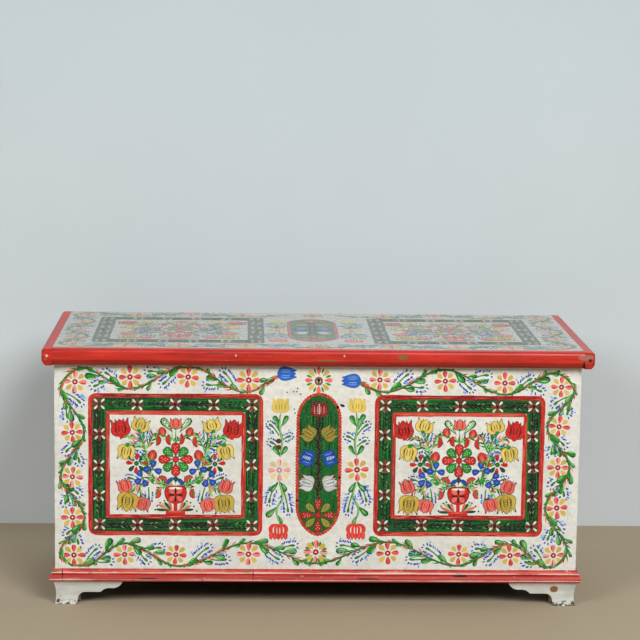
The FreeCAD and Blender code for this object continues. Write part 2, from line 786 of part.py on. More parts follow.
lid_nail_z = f"{RIM} + lid_thickness - lid_nail_drop"
end_reach = f"{LID_DEPTH} - 2 * end_nail_inset"
lid_moulding_nails = group("lid_moulding_nails", [
    nail_row("lid_front_nails", (f"lid_nail_first - {LID_HALF}", strip_front, lid_nail_z), 0,
             QUARTER_TURN, "nail_length", "nail_proud", "X_Axis",
             f"2 * {LID_HALF} - lid_nail_first - lid_nail_last", "lid_nail_count"),
    nail_row("lid_left_nails", (f"-{strip_out}", f"{LID_BACK} - end_nail_inset", lid_nail_z),
             -QUARTER_TURN, QUARTER_TURN, "nail_length", "nail_proud", "X_Axis", end_reach,
             "end_nail_count"),
    nail_row("lid_right_nails", (strip_out, f"{LID_FRONT} + end_nail_inset", lid_nail_z),
             QUARTER_TURN, QUARTER_TURN, "nail_length", "nail_proud", "X_Axis", end_reach,
             "end_nail_count"),
])
base_nail_z = "foot_height + base_nail_rise"
base_side_reach = "case_depth - 2 * base_nail_inset"
base_moulding_nails = group("base_moulding_nails", [
    nail_row("base_front_nails", (f"base_nail_inset - {HALF}", base_front, base_nail_z), 0,
             QUARTER_TURN, "nail_length", "nail_proud", "X_Axis",
             "case_width - 2 * base_nail_inset", "base_nail_count"),
    nail_row("base_left_nails", (f"-{base_out}", f"{BACK} - base_nail_inset", base_nail_z),
             -QUARTER_TURN, QUARTER_TURN, "nail_length", "nail_proud", "X_Axis", base_side_reach,
             "end_nail_count"),
    nail_row("base_right_nails", (base_out, f"{FRONT} + base_nail_inset", base_nail_z),
             QUARTER_TURN, QUARTER_TURN, "nail_length", "nail_proud", "X_Axis", base_side_reach,
             "end_nail_count"),
])
bottom_reach = "case_width - 2 * bottom_nail_inset"
bottom_nails = group("bottom_nails", [
    nail_row(f"bottom_{name}_nails", (f"bottom_nail_inset - {HALF}", y, "foot_height"), 0,
             2 * QUARTER_TURN, "nail_length", "0", "X_Axis", bottom_reach, "bottom_nail_count")
    for name, y in (
        ("front", f"{FRONT} + wall_thickness / 2"),
        ("rear", f"{BACK} - wall_thickness / 2"),
    )
])
strap_under = f"{RIM} - strap_thickness"
hinge_strap_nails = group("hinge_strap_nails", [
    nail_row(f"hinge_{name}_strap_nails", (x, f"{BACK} - strap_nail_first_share * {STRAP}", strap_under), 0,
             2 * QUARTER_TURN, "tack_length", "nail_proud", "Y_Axis",
             f"strap_nail_pitch_share * {STRAP} * (strap_nail_count - 1)", "strap_nail_count")
    for name, x in (("left", f"-{HINGE_X}"), ("right", HINGE_X))
])
leaf_face = f"{BACK} + strap_thickness"
hinge_leaf_nails = group("hinge_leaf_nails", [
    nail_row(f"hinge_{name}_leaf_nails",
             (x, leaf_face, f"{AXIS_Z} - leaf_nail_first - leaf_nail_pitch * (leaf_nail_count - 1)"),
             2 * QUARTER_TURN, QUARTER_TURN, "tack_length", "nail_proud", "Y_Axis",
             "leaf_nail_pitch * (leaf_nail_count - 1)", "leaf_nail_count")
    for name, x in (("left", f"-{HINGE_X}"), ("right", HINGE_X))
])
lock_face = f"{LOCK_Y} + plate_thickness"
lock_nails = group("lock_nails", [
    nail_row(f"lock_{name}_nails", ("lock_width / 2 - lock_nail_inset", lock_face, z),
             2 * QUARTER_TURN, QUARTER_TURN, "tack_length", "nail_proud", "X_Axis",
             "lock_width - 2 * lock_nail_inset", "2")
    for name, z in (
        ("upper", f"{KEY_Z} + lock_above - lock_nail_inset"),
        ("lower", f"{KEY_Z} - lock_below + lock_nail_inset"),
    )
])
hasp_nails = group("hasp_nails", [
    nail_row(f"hasp_{name}_nails",
             ("hasp_nail_inset - hasp_offset - hasp_width / 2", y, f"{RIM} - hasp_thickness"), 0,
             2 * QUARTER_TURN, "tack_length", "nail_proud", "X_Axis",
             "hasp_width - 2 * hasp_nail_inset", "2")
    for name, y in (
        ("near", f"{LOCK_Y} + {lug_back} + hasp_nail_inset"),
        ("far", f"{LOCK_Y} + {lug_front} + hasp_depth - hasp_nail_inset"),
    )
])

doc.recompute()
nodes = [
    front_board, back_board, left_end_board, right_end_board,
    *bottom_planks, *lid_planks, *lid_mouldings, *base_mouldings, *feet, *blocks, *hinges,
    lock_plate, lock_bolt, lock_staples, lock_spring, lock_ward_cap, lock_key_post, lid_hasp,
    lid_moulding_nails, base_moulding_nails, bottom_nails,
    hinge_strap_nails, hinge_leaf_nails, lock_nails, hasp_nails,
]
for thing in doc.Objects:
    if "Invalid" in thing.State or "Error" in thing.State:
        raise RuntimeError(f"{thing.Label} could not be built")
os.makedirs("parts", exist_ok=True)
for node in nodes:
    if node.Shape.isNull() or not node.Shape.isValid():
        raise RuntimeError(f"{node.Label} has no sound shape")
    node.Shape.exportStep(f"parts/{node.Label}.step")
print(len(nodes), "pieces written")
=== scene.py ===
# %% [markdown]
# A painted chest
# The object is a flat-lidded pine chest about 1.36 m long, covered with flowers on a white ground.
# Its boards, mouldings, feet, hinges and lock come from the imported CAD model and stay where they
# are. This lesson gives each of them its finish, and then paints the flowers stroke by stroke, as
# thin meshes that ride on the case or on the lid.

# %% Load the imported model
import functools
import math

import bpy
import numpy as np
from mathutils import Matrix, Vector


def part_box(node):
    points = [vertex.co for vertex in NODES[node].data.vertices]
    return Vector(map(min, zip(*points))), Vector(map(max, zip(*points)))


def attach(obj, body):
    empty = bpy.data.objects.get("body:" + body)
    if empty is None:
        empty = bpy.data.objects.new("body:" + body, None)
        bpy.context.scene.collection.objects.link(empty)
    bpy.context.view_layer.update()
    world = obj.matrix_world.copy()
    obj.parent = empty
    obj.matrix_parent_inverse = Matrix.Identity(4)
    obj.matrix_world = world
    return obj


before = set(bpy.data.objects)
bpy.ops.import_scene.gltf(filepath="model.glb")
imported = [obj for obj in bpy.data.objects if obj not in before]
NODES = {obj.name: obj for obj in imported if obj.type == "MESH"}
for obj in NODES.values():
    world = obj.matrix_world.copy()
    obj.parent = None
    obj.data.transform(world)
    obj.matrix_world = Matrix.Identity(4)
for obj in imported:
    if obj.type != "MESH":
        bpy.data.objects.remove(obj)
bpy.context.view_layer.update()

# %% Read the planes that the painter works on
FRONT_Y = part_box("front_board")[0].y
BACK_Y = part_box("back_board")[1].y
CASE_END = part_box("left_end_board")[0].x
LID_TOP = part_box("lid_front_plank")[1].z
LID_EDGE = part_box("lid_front_plank")[0]
STRIP_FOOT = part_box("lid_front_moulding")[0].z
BASE_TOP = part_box("base_front_moulding")[1].z
print(f"front {FRONT_Y:.4f}, back {BACK_Y:.4f}, end {CASE_END:.4f}, lid top {LID_TOP:.4f}")

# %% [markdown]
# The camera
# The photograph was taken with a long lens from a standing height, a little to the left of the
# middle. A camera could be aimed by a Track To constraint, but here its three angles are set one
# after another, because the picture is also tilted by less than a degree.

# %% Set the camera where the photographer stood
SCENE = bpy.context.scene
IMAGE_SIDE, FOCAL_PIXELS = 640, 2187.5
SENSOR = 36.0
CAMERA_PLACE = Vector((-0.1855, -5.599, 1.5295))
TURN, DOWN, TILT = math.radians(2.01), math.radians(8.635), math.radians(0.7625)


def placed(name, data):
    """An object with this data, put into the scene."""
    made = bpy.data.objects.new(name, data)
    SCENE.collection.objects.link(made)
    return made


camera = placed("photo_camera", bpy.data.cameras.new("photo_camera"))
camera.data.sensor_width = SENSOR
camera.data.lens = FOCAL_PIXELS / IMAGE_SIDE * SENSOR
aim = Matrix.Rotation(-TURN, 4, "Z") @ Matrix.Rotation(math.pi / 2 - DOWN, 4, "X")
camera.matrix_world = Matrix.Translation(CAMERA_PLACE) @ aim @ Matrix.Rotation(TILT, 4, "Z")
SCENE.camera = camera
SCENE.view_settings.view_transform = "Standard"
print(f"lens {camera.data.lens:.1f} mm")

# %% [markdown]
# A short way to write materials
# Every finish here is a tree of shader nodes. Wiring them one by one takes many lines, so a small
# class adds a node, fills its sockets and hands back its output. It also keeps the colour so far,
# and lays one tone after another over it, as wear and dirt do. All patterns follow object
# coordinates, which are metres on the chest, so grain and wear have their real size.

# %% The finish helper
def linear(red, green, blue):
    """A colour as a paint card gives it, 0 to 255, in the linear light that shaders use."""
    shares = (c / 255 for c in (red, green, blue))
    return tuple(s / 12.92 if s <= 0.04045 else ((s + 0.055) / 1.055) ** 2.4 for s in shares)


class Finish:
    """A material in the making. Its tones are written as a paint card gives them."""

    def __init__(self, name, tone):
        self.material = bpy.data.materials.new(name)
        self.material.use_nodes = True
        self.tree = self.material.node_tree
        self.shader = self.tree.nodes["Principled BSDF"]
        self.where = self.node("ShaderNodeTexCoord").outputs["Object"]
        self.colour = linear(*tone)

    def node(self, kind, inputs=(), **settings):
        made = self.tree.nodes.new(kind)
        for setting, value in settings.items():
            setattr(made, setting, value)
        for socket, value in dict(inputs).items():
            self.fill(made.inputs[socket], value)
        return made

    def fill(self, socket, value):
        if isinstance(value, bpy.types.NodeSocket):
            self.tree.links.new(value, socket)
        elif socket.type == "RGBA" and len(value) == 3:
            socket.default_value = (*value, 1.0)
        else:
            socket.default_value = value

    def noise(self, scale, stretch=(1.0, 1.0, 1.0), detail=4.0, rough=0.55):
        spread = self.node("ShaderNodeMapping", {"Vector": self.where, "Scale": stretch})
        sockets = {"Vector": spread.outputs[0], "Scale": scale, "Detail": detail, "Roughness": rough}
        return self.node("ShaderNodeTexNoise", sockets).outputs["Fac"]

    def between(self, value, low, high, start=0.0, end=1.0):
        sockets = {"Value": value, "From Min": low, "From Max": high, "To Min": start, "To Max": end}
        return self.node("ShaderNodeMapRange", sockets).outputs["Result"]

    def maths(self, operation, first, second=0.0):
        return self.node("ShaderNodeMath", {0: first, 1: second}, operation=operation).outputs[0]

    def mix(self, share, first, second, blend="MIX"):
        """Mix two colours. A colour mix takes its share in socket 0 and the colours in 6 and 7."""
        made = self.node("ShaderNodeMix", data_type="RGBA", blend_type=blend)
        for socket, value in zip((0, 6, 7), (share, first, second)):
            self.fill(made.inputs[socket], value)
        return made.outputs[2]

    def cover(self, mask, tone):
        """Lay a tone over the colour so far, as strongly as a mask says."""
        self.colour = self.mix(mask, self.colour, linear(*tone))

    def over(self, pattern, low, high, share, tone):
        """Lay a tone where a pattern goes from low to high, and there up to a share."""
        self.cover(self.between(pattern, low, high, 0.0, share), tone)

    def axis(self, letter):
        return self.node("ShaderNodeSeparateXYZ", {0: self.where}).outputs[letter]

    def height_from(self, level):
        """How far a place lies above or below a level of the chest."""
        return self.maths("ABSOLUTE", self.maths("SUBTRACT", self.axis("Z"), level))

    def spot(self, centre, radii, ragged=0.5):
        """A ragged mask about a point of the chest, as far as a radius along each axis."""
        shrink = tuple(1 / radius for radius in radii)
        away = self.node("ShaderNodeVectorMath", {0: self.where, 1: centre}, operation="SUBTRACT")
        away = self.node("ShaderNodeVectorMath", {0: away.outputs[0], 1: shrink}, operation="MULTIPLY")
        away = self.node("ShaderNodeVectorMath", {0: away.outputs[0]}, operation="LENGTH")
        edge = self.maths("MULTIPLY", self.noise(1.2 / max(radii)), ragged)
        distance = self.maths("ADD", away.outputs["Value"], edge)
        return self.between(distance, 1 + ragged / 2, 0.8 + ragged / 2)

    def chip(self, y, marks):
        """Lay a ragged spot of its own tone at each mark on a face that looks forward."""
        for (x, z), radii, tone in marks:
            self.cover(self.spot((x, y, z), radii), tone)

    def bump(self, height, strength, depth):
        sockets = {"Height": height, "Strength": strength, "Distance": depth}
        self.fill(self.shader.inputs["Normal"], self.node("ShaderNodeBump", sockets).outputs["Normal"])

    def done(self, roughness):
        self.fill(self.shader.inputs["Base Color"], self.colour)
        self.fill(self.shader.inputs["Roughness"], roughness)
        return self.material


GRAIN = 0.06
ALONG_X, ALONG_Y, ALONG_Z = (GRAIN, 1.0, 1.0), (1.0, GRAIN, 1.0), (1.0, 1.0, GRAIN)
print(f"grain is drawn out {1 / GRAIN:.0f} times along a board")

# %% [markdown]
# Bare pine
# The inside, the back and the underside were never painted, and have aged to a dull brown. The
# underside is made much darker still, as painted shade under the chest. Pine shows long fibres,
# late rings that darken slowly and end sharply, and a few knots that the rings flow round.
# Stretching a noise along the board gives fibres and rings, and the distance to the nearest of
# some scattered points gives the knots. Each plank takes another piece of the same wood.

# %% Pine with its grain along a chosen direction
RINGS_DRAWN_OUT, KNOT_STRETCH = 0.3, 9.0
RING_COUNT, KNOT_SCALE = 11.0, 5.0
KNOT_BROWN, FIBRE_BROWN, GRIME_GREY = (82, 50, 30), (84, 56, 34), (74, 62, 50)


def stretched(grain, factor):
    """A grain that is drawn out more, or less, along the same board."""
    return tuple(share if share == 1.0 else share * factor for share in grain)


def bare_pine(name, grain, pale=(176, 134, 88), dark=(122, 84, 50), shift=(0.0, 0.0, 0.0)):
    f = Finish(name, pale)
    f.where = f.node("ShaderNodeMapping", {"Vector": f.where, "Location": shift}).outputs[0]
    rings = f.noise(24, stretched(grain, RINGS_DRAWN_OUT), detail=2, rough=0.4)
    fibres = f.noise(420, grain, detail=5, rough=0.7)
    grime = f.noise(5, detail=5)
    spread = f.node("ShaderNodeMapping", {"Vector": f.where, "Scale": stretched(grain, KNOT_STRETCH)})
    scattered = {"Vector": spread.outputs[0], "Scale": KNOT_SCALE}
    knots = f.node("ShaderNodeTexVoronoi", scattered).outputs["Distance"]
    flow = f.maths("ADD", rings, f.between(knots, 0.05, 0.3, 0.2, 0.0))
    banding = f.maths("FRACT", f.maths("MULTIPLY", flow, RING_COUNT))
    late = f.maths("MULTIPLY", f.between(banding, 0.2, 0.86), f.between(banding, 1.0, 0.9))
    f.cover(late, dark)
    f.over(knots, 0.085, 0.055, 1.0, KNOT_BROWN)
    f.over(fibres, 0.35, 0.75, 0.45, FIBRE_BROWN)
    f.over(grime, 0.45, 0.8, 0.5, GRIME_GREY)
    f.bump(fibres, 0.35, 0.0006)
    return f.done(f.between(fibres, 0.3, 0.8, 0.6, 0.85))


PINE_X = bare_pine("aged_pine_lengthwise", ALONG_X)
PINE_Y = bare_pine("aged_pine_crosswise", ALONG_Y)
PINE_Z = bare_pine("aged_pine_upright", ALONG_Z, pale=(160, 122, 82))
# The underside is far darker than aged pine: painted shade under the chest.
PINE_UNDER_SHADED = bare_pine("aged_pine_underside_shaded", ALONG_X, pale=(52, 40, 29), dark=(32, 24, 17))
PINE_END = bare_pine("aged_pine_end_grain", ALONG_Y, pale=(124, 88, 55), dark=(86, 56, 34))
PLANKS = {
    "front": bare_pine("aged_pine_front_plank", ALONG_X, (180, 138, 92), shift=(0.9, 0.37, 0.21)),
    "middle": bare_pine("aged_pine_middle_plank", ALONG_X, (168, 126, 82), shift=(2.3, 0.83, 0.56)),
    "rear": bare_pine("aged_pine_rear_plank", ALONG_X, (176, 132, 85), shift=(3.6, 0.12, 0.94)),
}
print(f"pine in three directions, end grain, {len(PLANKS)} planks and a dark underside")

# %% [markdown]
# The white ground
# Before the flowers came a coat of white, brushed along the boards. It has greyed, it is stained
# in soft patches, hairline cracks follow the wood, and it is rubbed through near the corners. The
# streaks are a noise stretched along the board, and the rubbing is a mask by distance from the
# corner, broken up by noise so that it doesn't look like a gradient.

# %% White ground for the case and the lid
# The lid's white is darker and greyer than the case's: painted shade and painted reflection.
CASE_WHITE, LID_SHADED_WHITE = (236, 236, 228), (186, 187, 178)
GREYED, RUB_WIDTH = 16, 0.010


def white_ground(name, grain, rubbed_axis, rubbed_from, white=CASE_WHITE, gloss=0.25, roughness=0.42):
    f = Finish(name, (tone - GREYED for tone in white))
    f.shader.inputs["Specular IOR Level"].default_value = gloss
    streaks = f.noise(70, grain, detail=6, rough=0.65)
    mottle = f.noise(95)
    stains = f.noise(6.5, detail=6, rough=0.62)
    cracks = f.noise(48, grain, detail=8, rough=0.78)
    specks = f.noise(420, detail=2)
    f.over(streaks, 0.3, 0.7, 1.0, white)
    f.over(mottle, 0.42, 0.72, 0.55, (196, 196, 186))
    f.over(stains, 0.5, 0.78, 0.4, (176, 177, 168))
    f.over(cracks, 0.735, 0.76, 0.7, (120, 112, 98))
    f.over(specks, 0.74, 0.78, 0.8, (110, 96, 78))
    reach = f.maths("ABSOLUTE", f.axis(rubbed_axis))
    worn = f.between(reach, rubbed_from - RUB_WIDTH, rubbed_from, -0.5, 0.3)
    f.over(f.maths("ADD", worn, stains), 0.72, 0.84, 0.5, (150, 132, 104))
    f.bump(f.maths("ADD", streaks, mottle), 0.25, 0.0008)
    return f.done(f.between(mottle, 0.3, 0.7, roughness - 0.07, roughness + 0.12))


GROUND_FRONT = white_ground("white_ground_front", ALONG_X, "X", -CASE_END)
GROUND_END = white_ground("white_ground_end", ALONG_Y, "Y", BACK_Y)
GROUND_LID = white_ground("white_ground_lid", ALONG_X, "X", -LID_EDGE.x, LID_SHADED_WHITE, 0.5, 0.26)
print("white ground on front, ends and lid")

# %% [markdown]
# Red mouldings and white feet
# The strips round the lid and the beads above the feet are red, and these are the edges that hands,
# knees and brooms meet. Their paint is streaky and rubbed to pink along the crests, and on the beads
# above the feet the pale crest lines are also a painted highlight. The turned-under face of each lid
# strip and the groove between the beads are darkened as painted shade, and the beads are darker
# along their top edge. A few bare spots have a definite place, such as a knot that shed its paint,
# so they are ragged round masks about a point. The feet have a chalky white coat that has flaked
# along the floor.

# %% Red paint of the lid strips
STRIP_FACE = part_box("lid_front_moulding")[0].y
STRIP_ARRIS = STRIP_FOOT + 0.0155
BARE_WOOD, PALE_RUB, OPEN_JOINT = (120, 98, 52), (214, 178, 156), (30, 18, 14)
# Place along and up, radii and tone of each mark.
STRIP_MARKS = (
    ((0.205, 0.636), (0.0135, 0.012, 0.0065), BARE_WOOD),
    ((0.022, 0.626), (0.032, 0.012, 0.0022), BARE_WOOD),
    ((-0.255, 0.643), (0.026, 0.012, 0.0016), (92, 40, 30)),
    ((-0.205, 0.637), (0.0026, 0.010, 0.0026), PALE_RUB),
    ((0.061, 0.638), (0.0026, 0.010, 0.0026), PALE_RUB),
    ((-0.666, 0.633), (0.0040, 0.012, 0.0040), PALE_RUB),
    ((0.656, 0.638), (0.0220, 0.020, 0.0075), (166, 104, 86)),
    ((0.652, 0.616), (0.0032, 0.020, 0.0120), OPEN_JOINT),
    ((0.667, 0.631), (0.0042, 0.012, 0.0042), OPEN_JOINT),
)


def strip_red(name, grain):
    f = Finish(name, (168, 26, 14))
    streaks = f.noise(85, grain, detail=6, rough=0.65)
    patches = f.noise(9, detail=5)
    scuffs = f.noise(60, grain, detail=7, rough=0.75)
    specks = f.noise(230, (0.4, 0.4, 1.0), detail=3)
    scratches = f.noise(130, grain, detail=5, rough=0.7)
    crest = f.between(f.height_from(STRIP_ARRIS), 0.0030, 0.0, 0.0, 0.12)
    f.over(streaks, 0.3, 0.72, 1.0, (220, 46, 26))
    f.over(patches, 0.45, 0.75, 0.5, (150, 24, 18))
    f.over(f.maths("ADD", crest, scuffs), 0.64, 0.71, 0.65, (224, 142, 118))
    # Painted shade: below the arris the turned-under face of the strip is darkened.
    f.over(f.axis("Z"), STRIP_ARRIS + 0.0010, STRIP_ARRIS - 0.0010, 0.46, (120, 24, 12))
    f.over(specks, 0.62, 0.72, 0.6, (92, 30, 18))
    f.over(scratches, 0.57, 0.68, 0.5, (110, 22, 12))
    f.chip(STRIP_FACE, STRIP_MARKS)
    f.bump(streaks, 0.3, 0.0008)
    return f.done(f.between(streaks, 0.3, 0.7, 0.32, 0.52))


STRIP_X = strip_red("red_strip_lengthwise", ALONG_X)
STRIP_Y = strip_red("red_strip_crosswise", ALONG_Y)
print(f"{len(STRIP_MARKS)} marks on the lid strips")

# %% Red paint of the base moulding
BEAD_CREST, SMALL_CREST, QUIRK = 0.0835, 0.0665, 0.0740
BASE_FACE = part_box("base_front_moulding")[0].y
DARK_CHIP = (66, 30, 24)
BASE_MARKS = (
    ((-0.632, 0.080), (0.0014, 0.030, 0.0160), OPEN_JOINT),
    ((-0.655, 0.087), (0.0170, 0.030, 0.0030), BARE_WOOD),
    ((-0.158, 0.080), (0.0012, 0.030, 0.0160), OPEN_JOINT),
    ((-0.174, 0.087), (0.0150, 0.030, 0.0026), BARE_WOOD),
    ((0.130, 0.072), (0.0300, 0.030, 0.0024), DARK_CHIP),
    ((0.360, 0.078), (0.0220, 0.030, 0.0022), DARK_CHIP),
    ((-0.420, 0.070), (0.0260, 0.030, 0.0020), DARK_CHIP),
)


def base_red(name, grain):
    f = Finish(name, (170, 32, 24))
    streaks = f.noise(75, grain, detail=7, rough=0.72)
    patches = f.noise(7)
    chips = f.noise(38, detail=6, rough=0.7)
    changes = f.noise(24, grain, detail=5, rough=0.7)
    nicks = f.noise(150, (0.35, 0.35, 1.0), detail=5, rough=0.7)
    f.over(streaks, 0.3, 0.7, 1.0, (222, 66, 52))
    f.over(changes, 0.52, 0.7, 0.6, (236, 132, 116))
    # The moulding is darker along its top edge, where it meets the case, broken up by noise.
    ledge = f.between(f.axis("Z"), BASE_TOP - 0.0035, BASE_TOP - 0.0015)
    darker_top_edge = f.maths("MULTIPLY", ledge, f.between(chips, 0.4, 0.6))
    f.cover(f.maths("MULTIPLY", darker_top_edge, 0.8), (96, 26, 20))
    # Along the crests of both beads the pale rub is partly wear and partly a painted highlight.
    upper = f.between(f.height_from(BEAD_CREST), 0.0030, 0.0)
    lower = f.between(f.height_from(SMALL_CREST), 0.0020, 0.0)
    crest = f.maths("MULTIPLY", f.maths("MAXIMUM", upper, lower), 0.34)
    rubbed_and_painted_light = f.maths("ADD", f.maths("ADD", crest, streaks), f.maths("MULTIPLY", patches, 0.35))
    f.over(rubbed_and_painted_light, 0.76, 0.92, 0.95, (246, 216, 204))
    f.over(patches, 0.58, 0.78, 0.55, (146, 34, 30))
    f.over(chips, 0.58, 0.68, 0.65, (122, 44, 36))
    f.over(nicks, 0.63, 0.70, 0.7, (232, 196, 184))
    # Painted shade: the groove between the two beads is darkened.
    f.over(f.height_from(QUIRK), 0.0022, 0.0008, 0.5, (72, 22, 18))
    f.chip(BASE_FACE, BASE_MARKS)
    f.bump(streaks, 0.3, 0.0008)
    return f.done(f.between(streaks, 0.3, 0.7, 0.36, 0.58))


BASE_X, BASE_Y = base_red("red_base_lengthwise", ALONG_X), base_red("red_base_crosswise", ALONG_Y)
print(f"{len(BASE_MARKS)} marks on the base moulding")

# %% White paint of the feet
KNOT_ON_FOOT, KNOT_RADII = (0.598, -0.293, 0.042), (0.0130, 0.0130, 0.0110)
KNOT_PALE, KNOT_DARK = linear(150, 108, 58), linear(112, 74, 36)
FLAKED_BELOW = 0.026


def foot_white(name, grain):
    f = Finish(name, (192, 194, 186))
    streaks = f.noise(90, grain, detail=6, rough=0.7)
    flakes = f.noise(110, detail=6, rough=0.7)
    stains = f.noise(22, detail=5)
    f.over(streaks, 0.32, 0.68, 1.0, (224, 226, 219))
    f.over(stains, 0.45, 0.75, 0.55, (170, 170, 160))
    low = f.between(f.axis("Z"), FLAKED_BELOW, 0.0, 0.0, 0.22)
    f.over(f.maths("ADD", flakes, low), 0.66, 0.71, 1.0, (70, 58, 44))
    knot = f.spot(KNOT_ON_FOOT, KNOT_RADII, 0.3)
    rings = f.between(f.noise(500, detail=2), 0.4, 0.6)
    f.colour = f.mix(knot, f.colour, f.mix(rings, KNOT_PALE, KNOT_DARK))
    f.bump(f.maths("ADD", streaks, flakes), 0.45, 0.0012)
    return f.done(f.between(streaks, 0.3, 0.7, 0.55, 0.75))


FOOT_X, FOOT_Y = foot_white("white_foot_front", ALONG_X), foot_white("white_foot_side", ALONG_Y)
print(f"feet flaked up to {FLAKED_BELOW * 1000:.0f} mm")

# %% [markdown]
# Forged iron
# Hinges, lock and hasp with their nails, and the nails of the bottom, are hammered iron, nearly
# black, with a bloom of rust. The nails of the mouldings were painted over with them. A cell
# pattern gives the shallow hammer marks as bump, and a noise sets where rust takes the shine away.

# %% Iron
HAMMER_SCALE, METAL = 130.0, 0.75


def forged_iron(name):
    f = Finish(name, (58, 54, 52))
    rust = f.noise(60, detail=6, rough=0.7)
    cells = f.node("ShaderNodeTexVoronoi", {"Vector": f.where, "Scale": HAMMER_SCALE})
    rusty = f.between(rust, 0.48, 0.68)
    f.shader.inputs["Metallic"].default_value = METAL
    f.bump(f.maths("ADD", cells.outputs["Distance"], rust), 0.4, 0.0008)
    f.cover(rusty, (104, 62, 40))
    return f.done(f.between(rusty, 0.0, 1.0, 0.42, 0.75))


IRON = forged_iron("forged_iron")
print(f"iron with {HAMMER_SCALE:.0f} hammer marks to a metre")

# %% [markdown]
# Dressing the CAD pieces
# A board of the case is painted only where it faces out, so its mesh gets two material slots, and
# each face takes the first or the second by where it points. That is simpler than a mask in the
# shader, and the edge between paint and bare wood then follows the arris exactly. At the back the
# pins of the dovetails show their end grain, which is darker, so the end boards have a third slot.

# %% Give each board and moulding its finish
NEAR = 0.001
FACING, HALF_FACING = 0.9, 0.5
SIDES = ("left", "right")


def dress(name, *finishes, painted=None, sawn=None):
    """Give a node its finishes: the first where it is painted, the last where its end grain shows."""
    mesh = NODES[name].data
    mesh.materials.clear()
    for finish in finishes:
        mesh.materials.append(finish)
    for face in mesh.polygons:
        slot = 0 if painted is None or painted(face) else 1
        face.material_index = 2 if sawn is not None and sawn(face) else slot


def on_case_outside(face):
    at_front = face.center.y < FRONT_Y + NEAR and face.normal.y < -FACING
    at_end = abs(face.center.x) > -CASE_END - NEAR and abs(face.normal.x) > FACING
    return at_front or at_end


def on_pin_end(face):
    return face.center.y > BACK_Y - NEAR and face.normal.y > FACING


dress("front_board", GROUND_FRONT, PINE_X, painted=on_case_outside)
dress("back_board", GROUND_END, PINE_X, painted=on_case_outside)
for side in SIDES:
    dress(f"{side}_end_board", GROUND_END, PINE_Y, PINE_END, painted=on_case_outside, sawn=on_pin_end)
for place, pine in PLANKS.items():
    # The undersides of the bottom planks take the dark pine of painted shade.
    dress(f"bottom_{place}_plank", pine, PINE_UNDER_SHADED, painted=lambda face: face.normal.z > -HALF_FACING)
    dress(f"lid_{place}_plank", GROUND_LID, pine, painted=lambda face: face.normal.z > FACING)
for kind, lengthwise, crosswise in (("lid", STRIP_X, STRIP_Y), ("base", BASE_X, BASE_Y)):
    dress(f"{kind}_front_moulding", lengthwise)
    for side in SIDES:
        dress(f"{kind}_{side}_moulding", crosswise)
print("boards, planks and mouldings have their finish")

# %% Feet, iron and nails
for side, outward in zip(SIDES, (-1, 1)):
    dress(f"front_{side}_foot_front", FOOT_X, PINE_X, painted=lambda face: face.normal.y < HALF_FACING)
    dress(f"rear_{side}_foot_rear", PINE_X)
    for end in ("front", "rear"):
        outer = lambda face, outward=outward: face.normal.x * outward > -HALF_FACING
        dress(f"{end}_{side}_foot_side", FOOT_Y, PINE_Y, painted=outer)
        dress(f"{end}_{side}_foot_block", PINE_Z)
for name in NODES:
    if name.startswith(("hinge", "lock")) or name in ("lid_hasp", "hasp_nails", "bottom_nails"):
        dress(name, IRON)
dress("lid_moulding_nails", STRIP_X)
dress("base_moulding_nails", BASE_X)
print("every node has its finish")

# %% [markdown]
# The brush
# A folk painter builds every flower from single presses of a round brush: a path, and how wide the
# hairs spread along it. An image would blur in close views and a texture can't follow a hand, so
# each press becomes a thin closed slab of paint, a few hundredths of a millimetre thicker for each
# coat. Places on a painted face are complex numbers in millimetres, real along the board and
# imaginary up it, because turning and moving a shape is then one multiplication and one addition.

# %% Boxes on a face, and the slab of one stroke
STROKE_PLACES = 7


def beyond(box, at):
    """How far places lie outside a box, less than nothing inside it."""
    left, bottom, right, top = box
    return np.maximum.reduce((left - at.real, at.real - right, bottom - at.imag, at.imag - top))


@functools.cache
def slab_faces(count):
    """Corners of the faces of one slab: top, underside and rim, for a path of so many places."""
    ring = 2 * count
    faces = []
    for k in range(count - 1):
        top = (k, k + 1, ring - 2 - k, ring - 1 - k)
        faces.append(top)
        faces.append(tuple(ring + corner for corner in reversed(top)))
    for k in range(ring):
        after = (k + 1) % ring
        faces.append((ring + k, ring + after, after, k))
    return np.array(faces)


print(f"a stroke through {STROKE_PLACES} places has {len(slab_faces(STROKE_PLACES))} faces")

# %% A painted face, which gathers strokes and turns them into meshes
MM = 0.001
SINK = 0.1
FIRST_COAT, COAT = 0.08, 0.06
STAGGER, STAGGER_COUNT = 0.0022, 24
THINNEST, TONE_SPREAD = 0.35, 0.12
CLEAR, DASH_CLEAR = 4.0, 6.0
SHORTEST_LEAF, LEAF_STEP = 12.0, 2.0


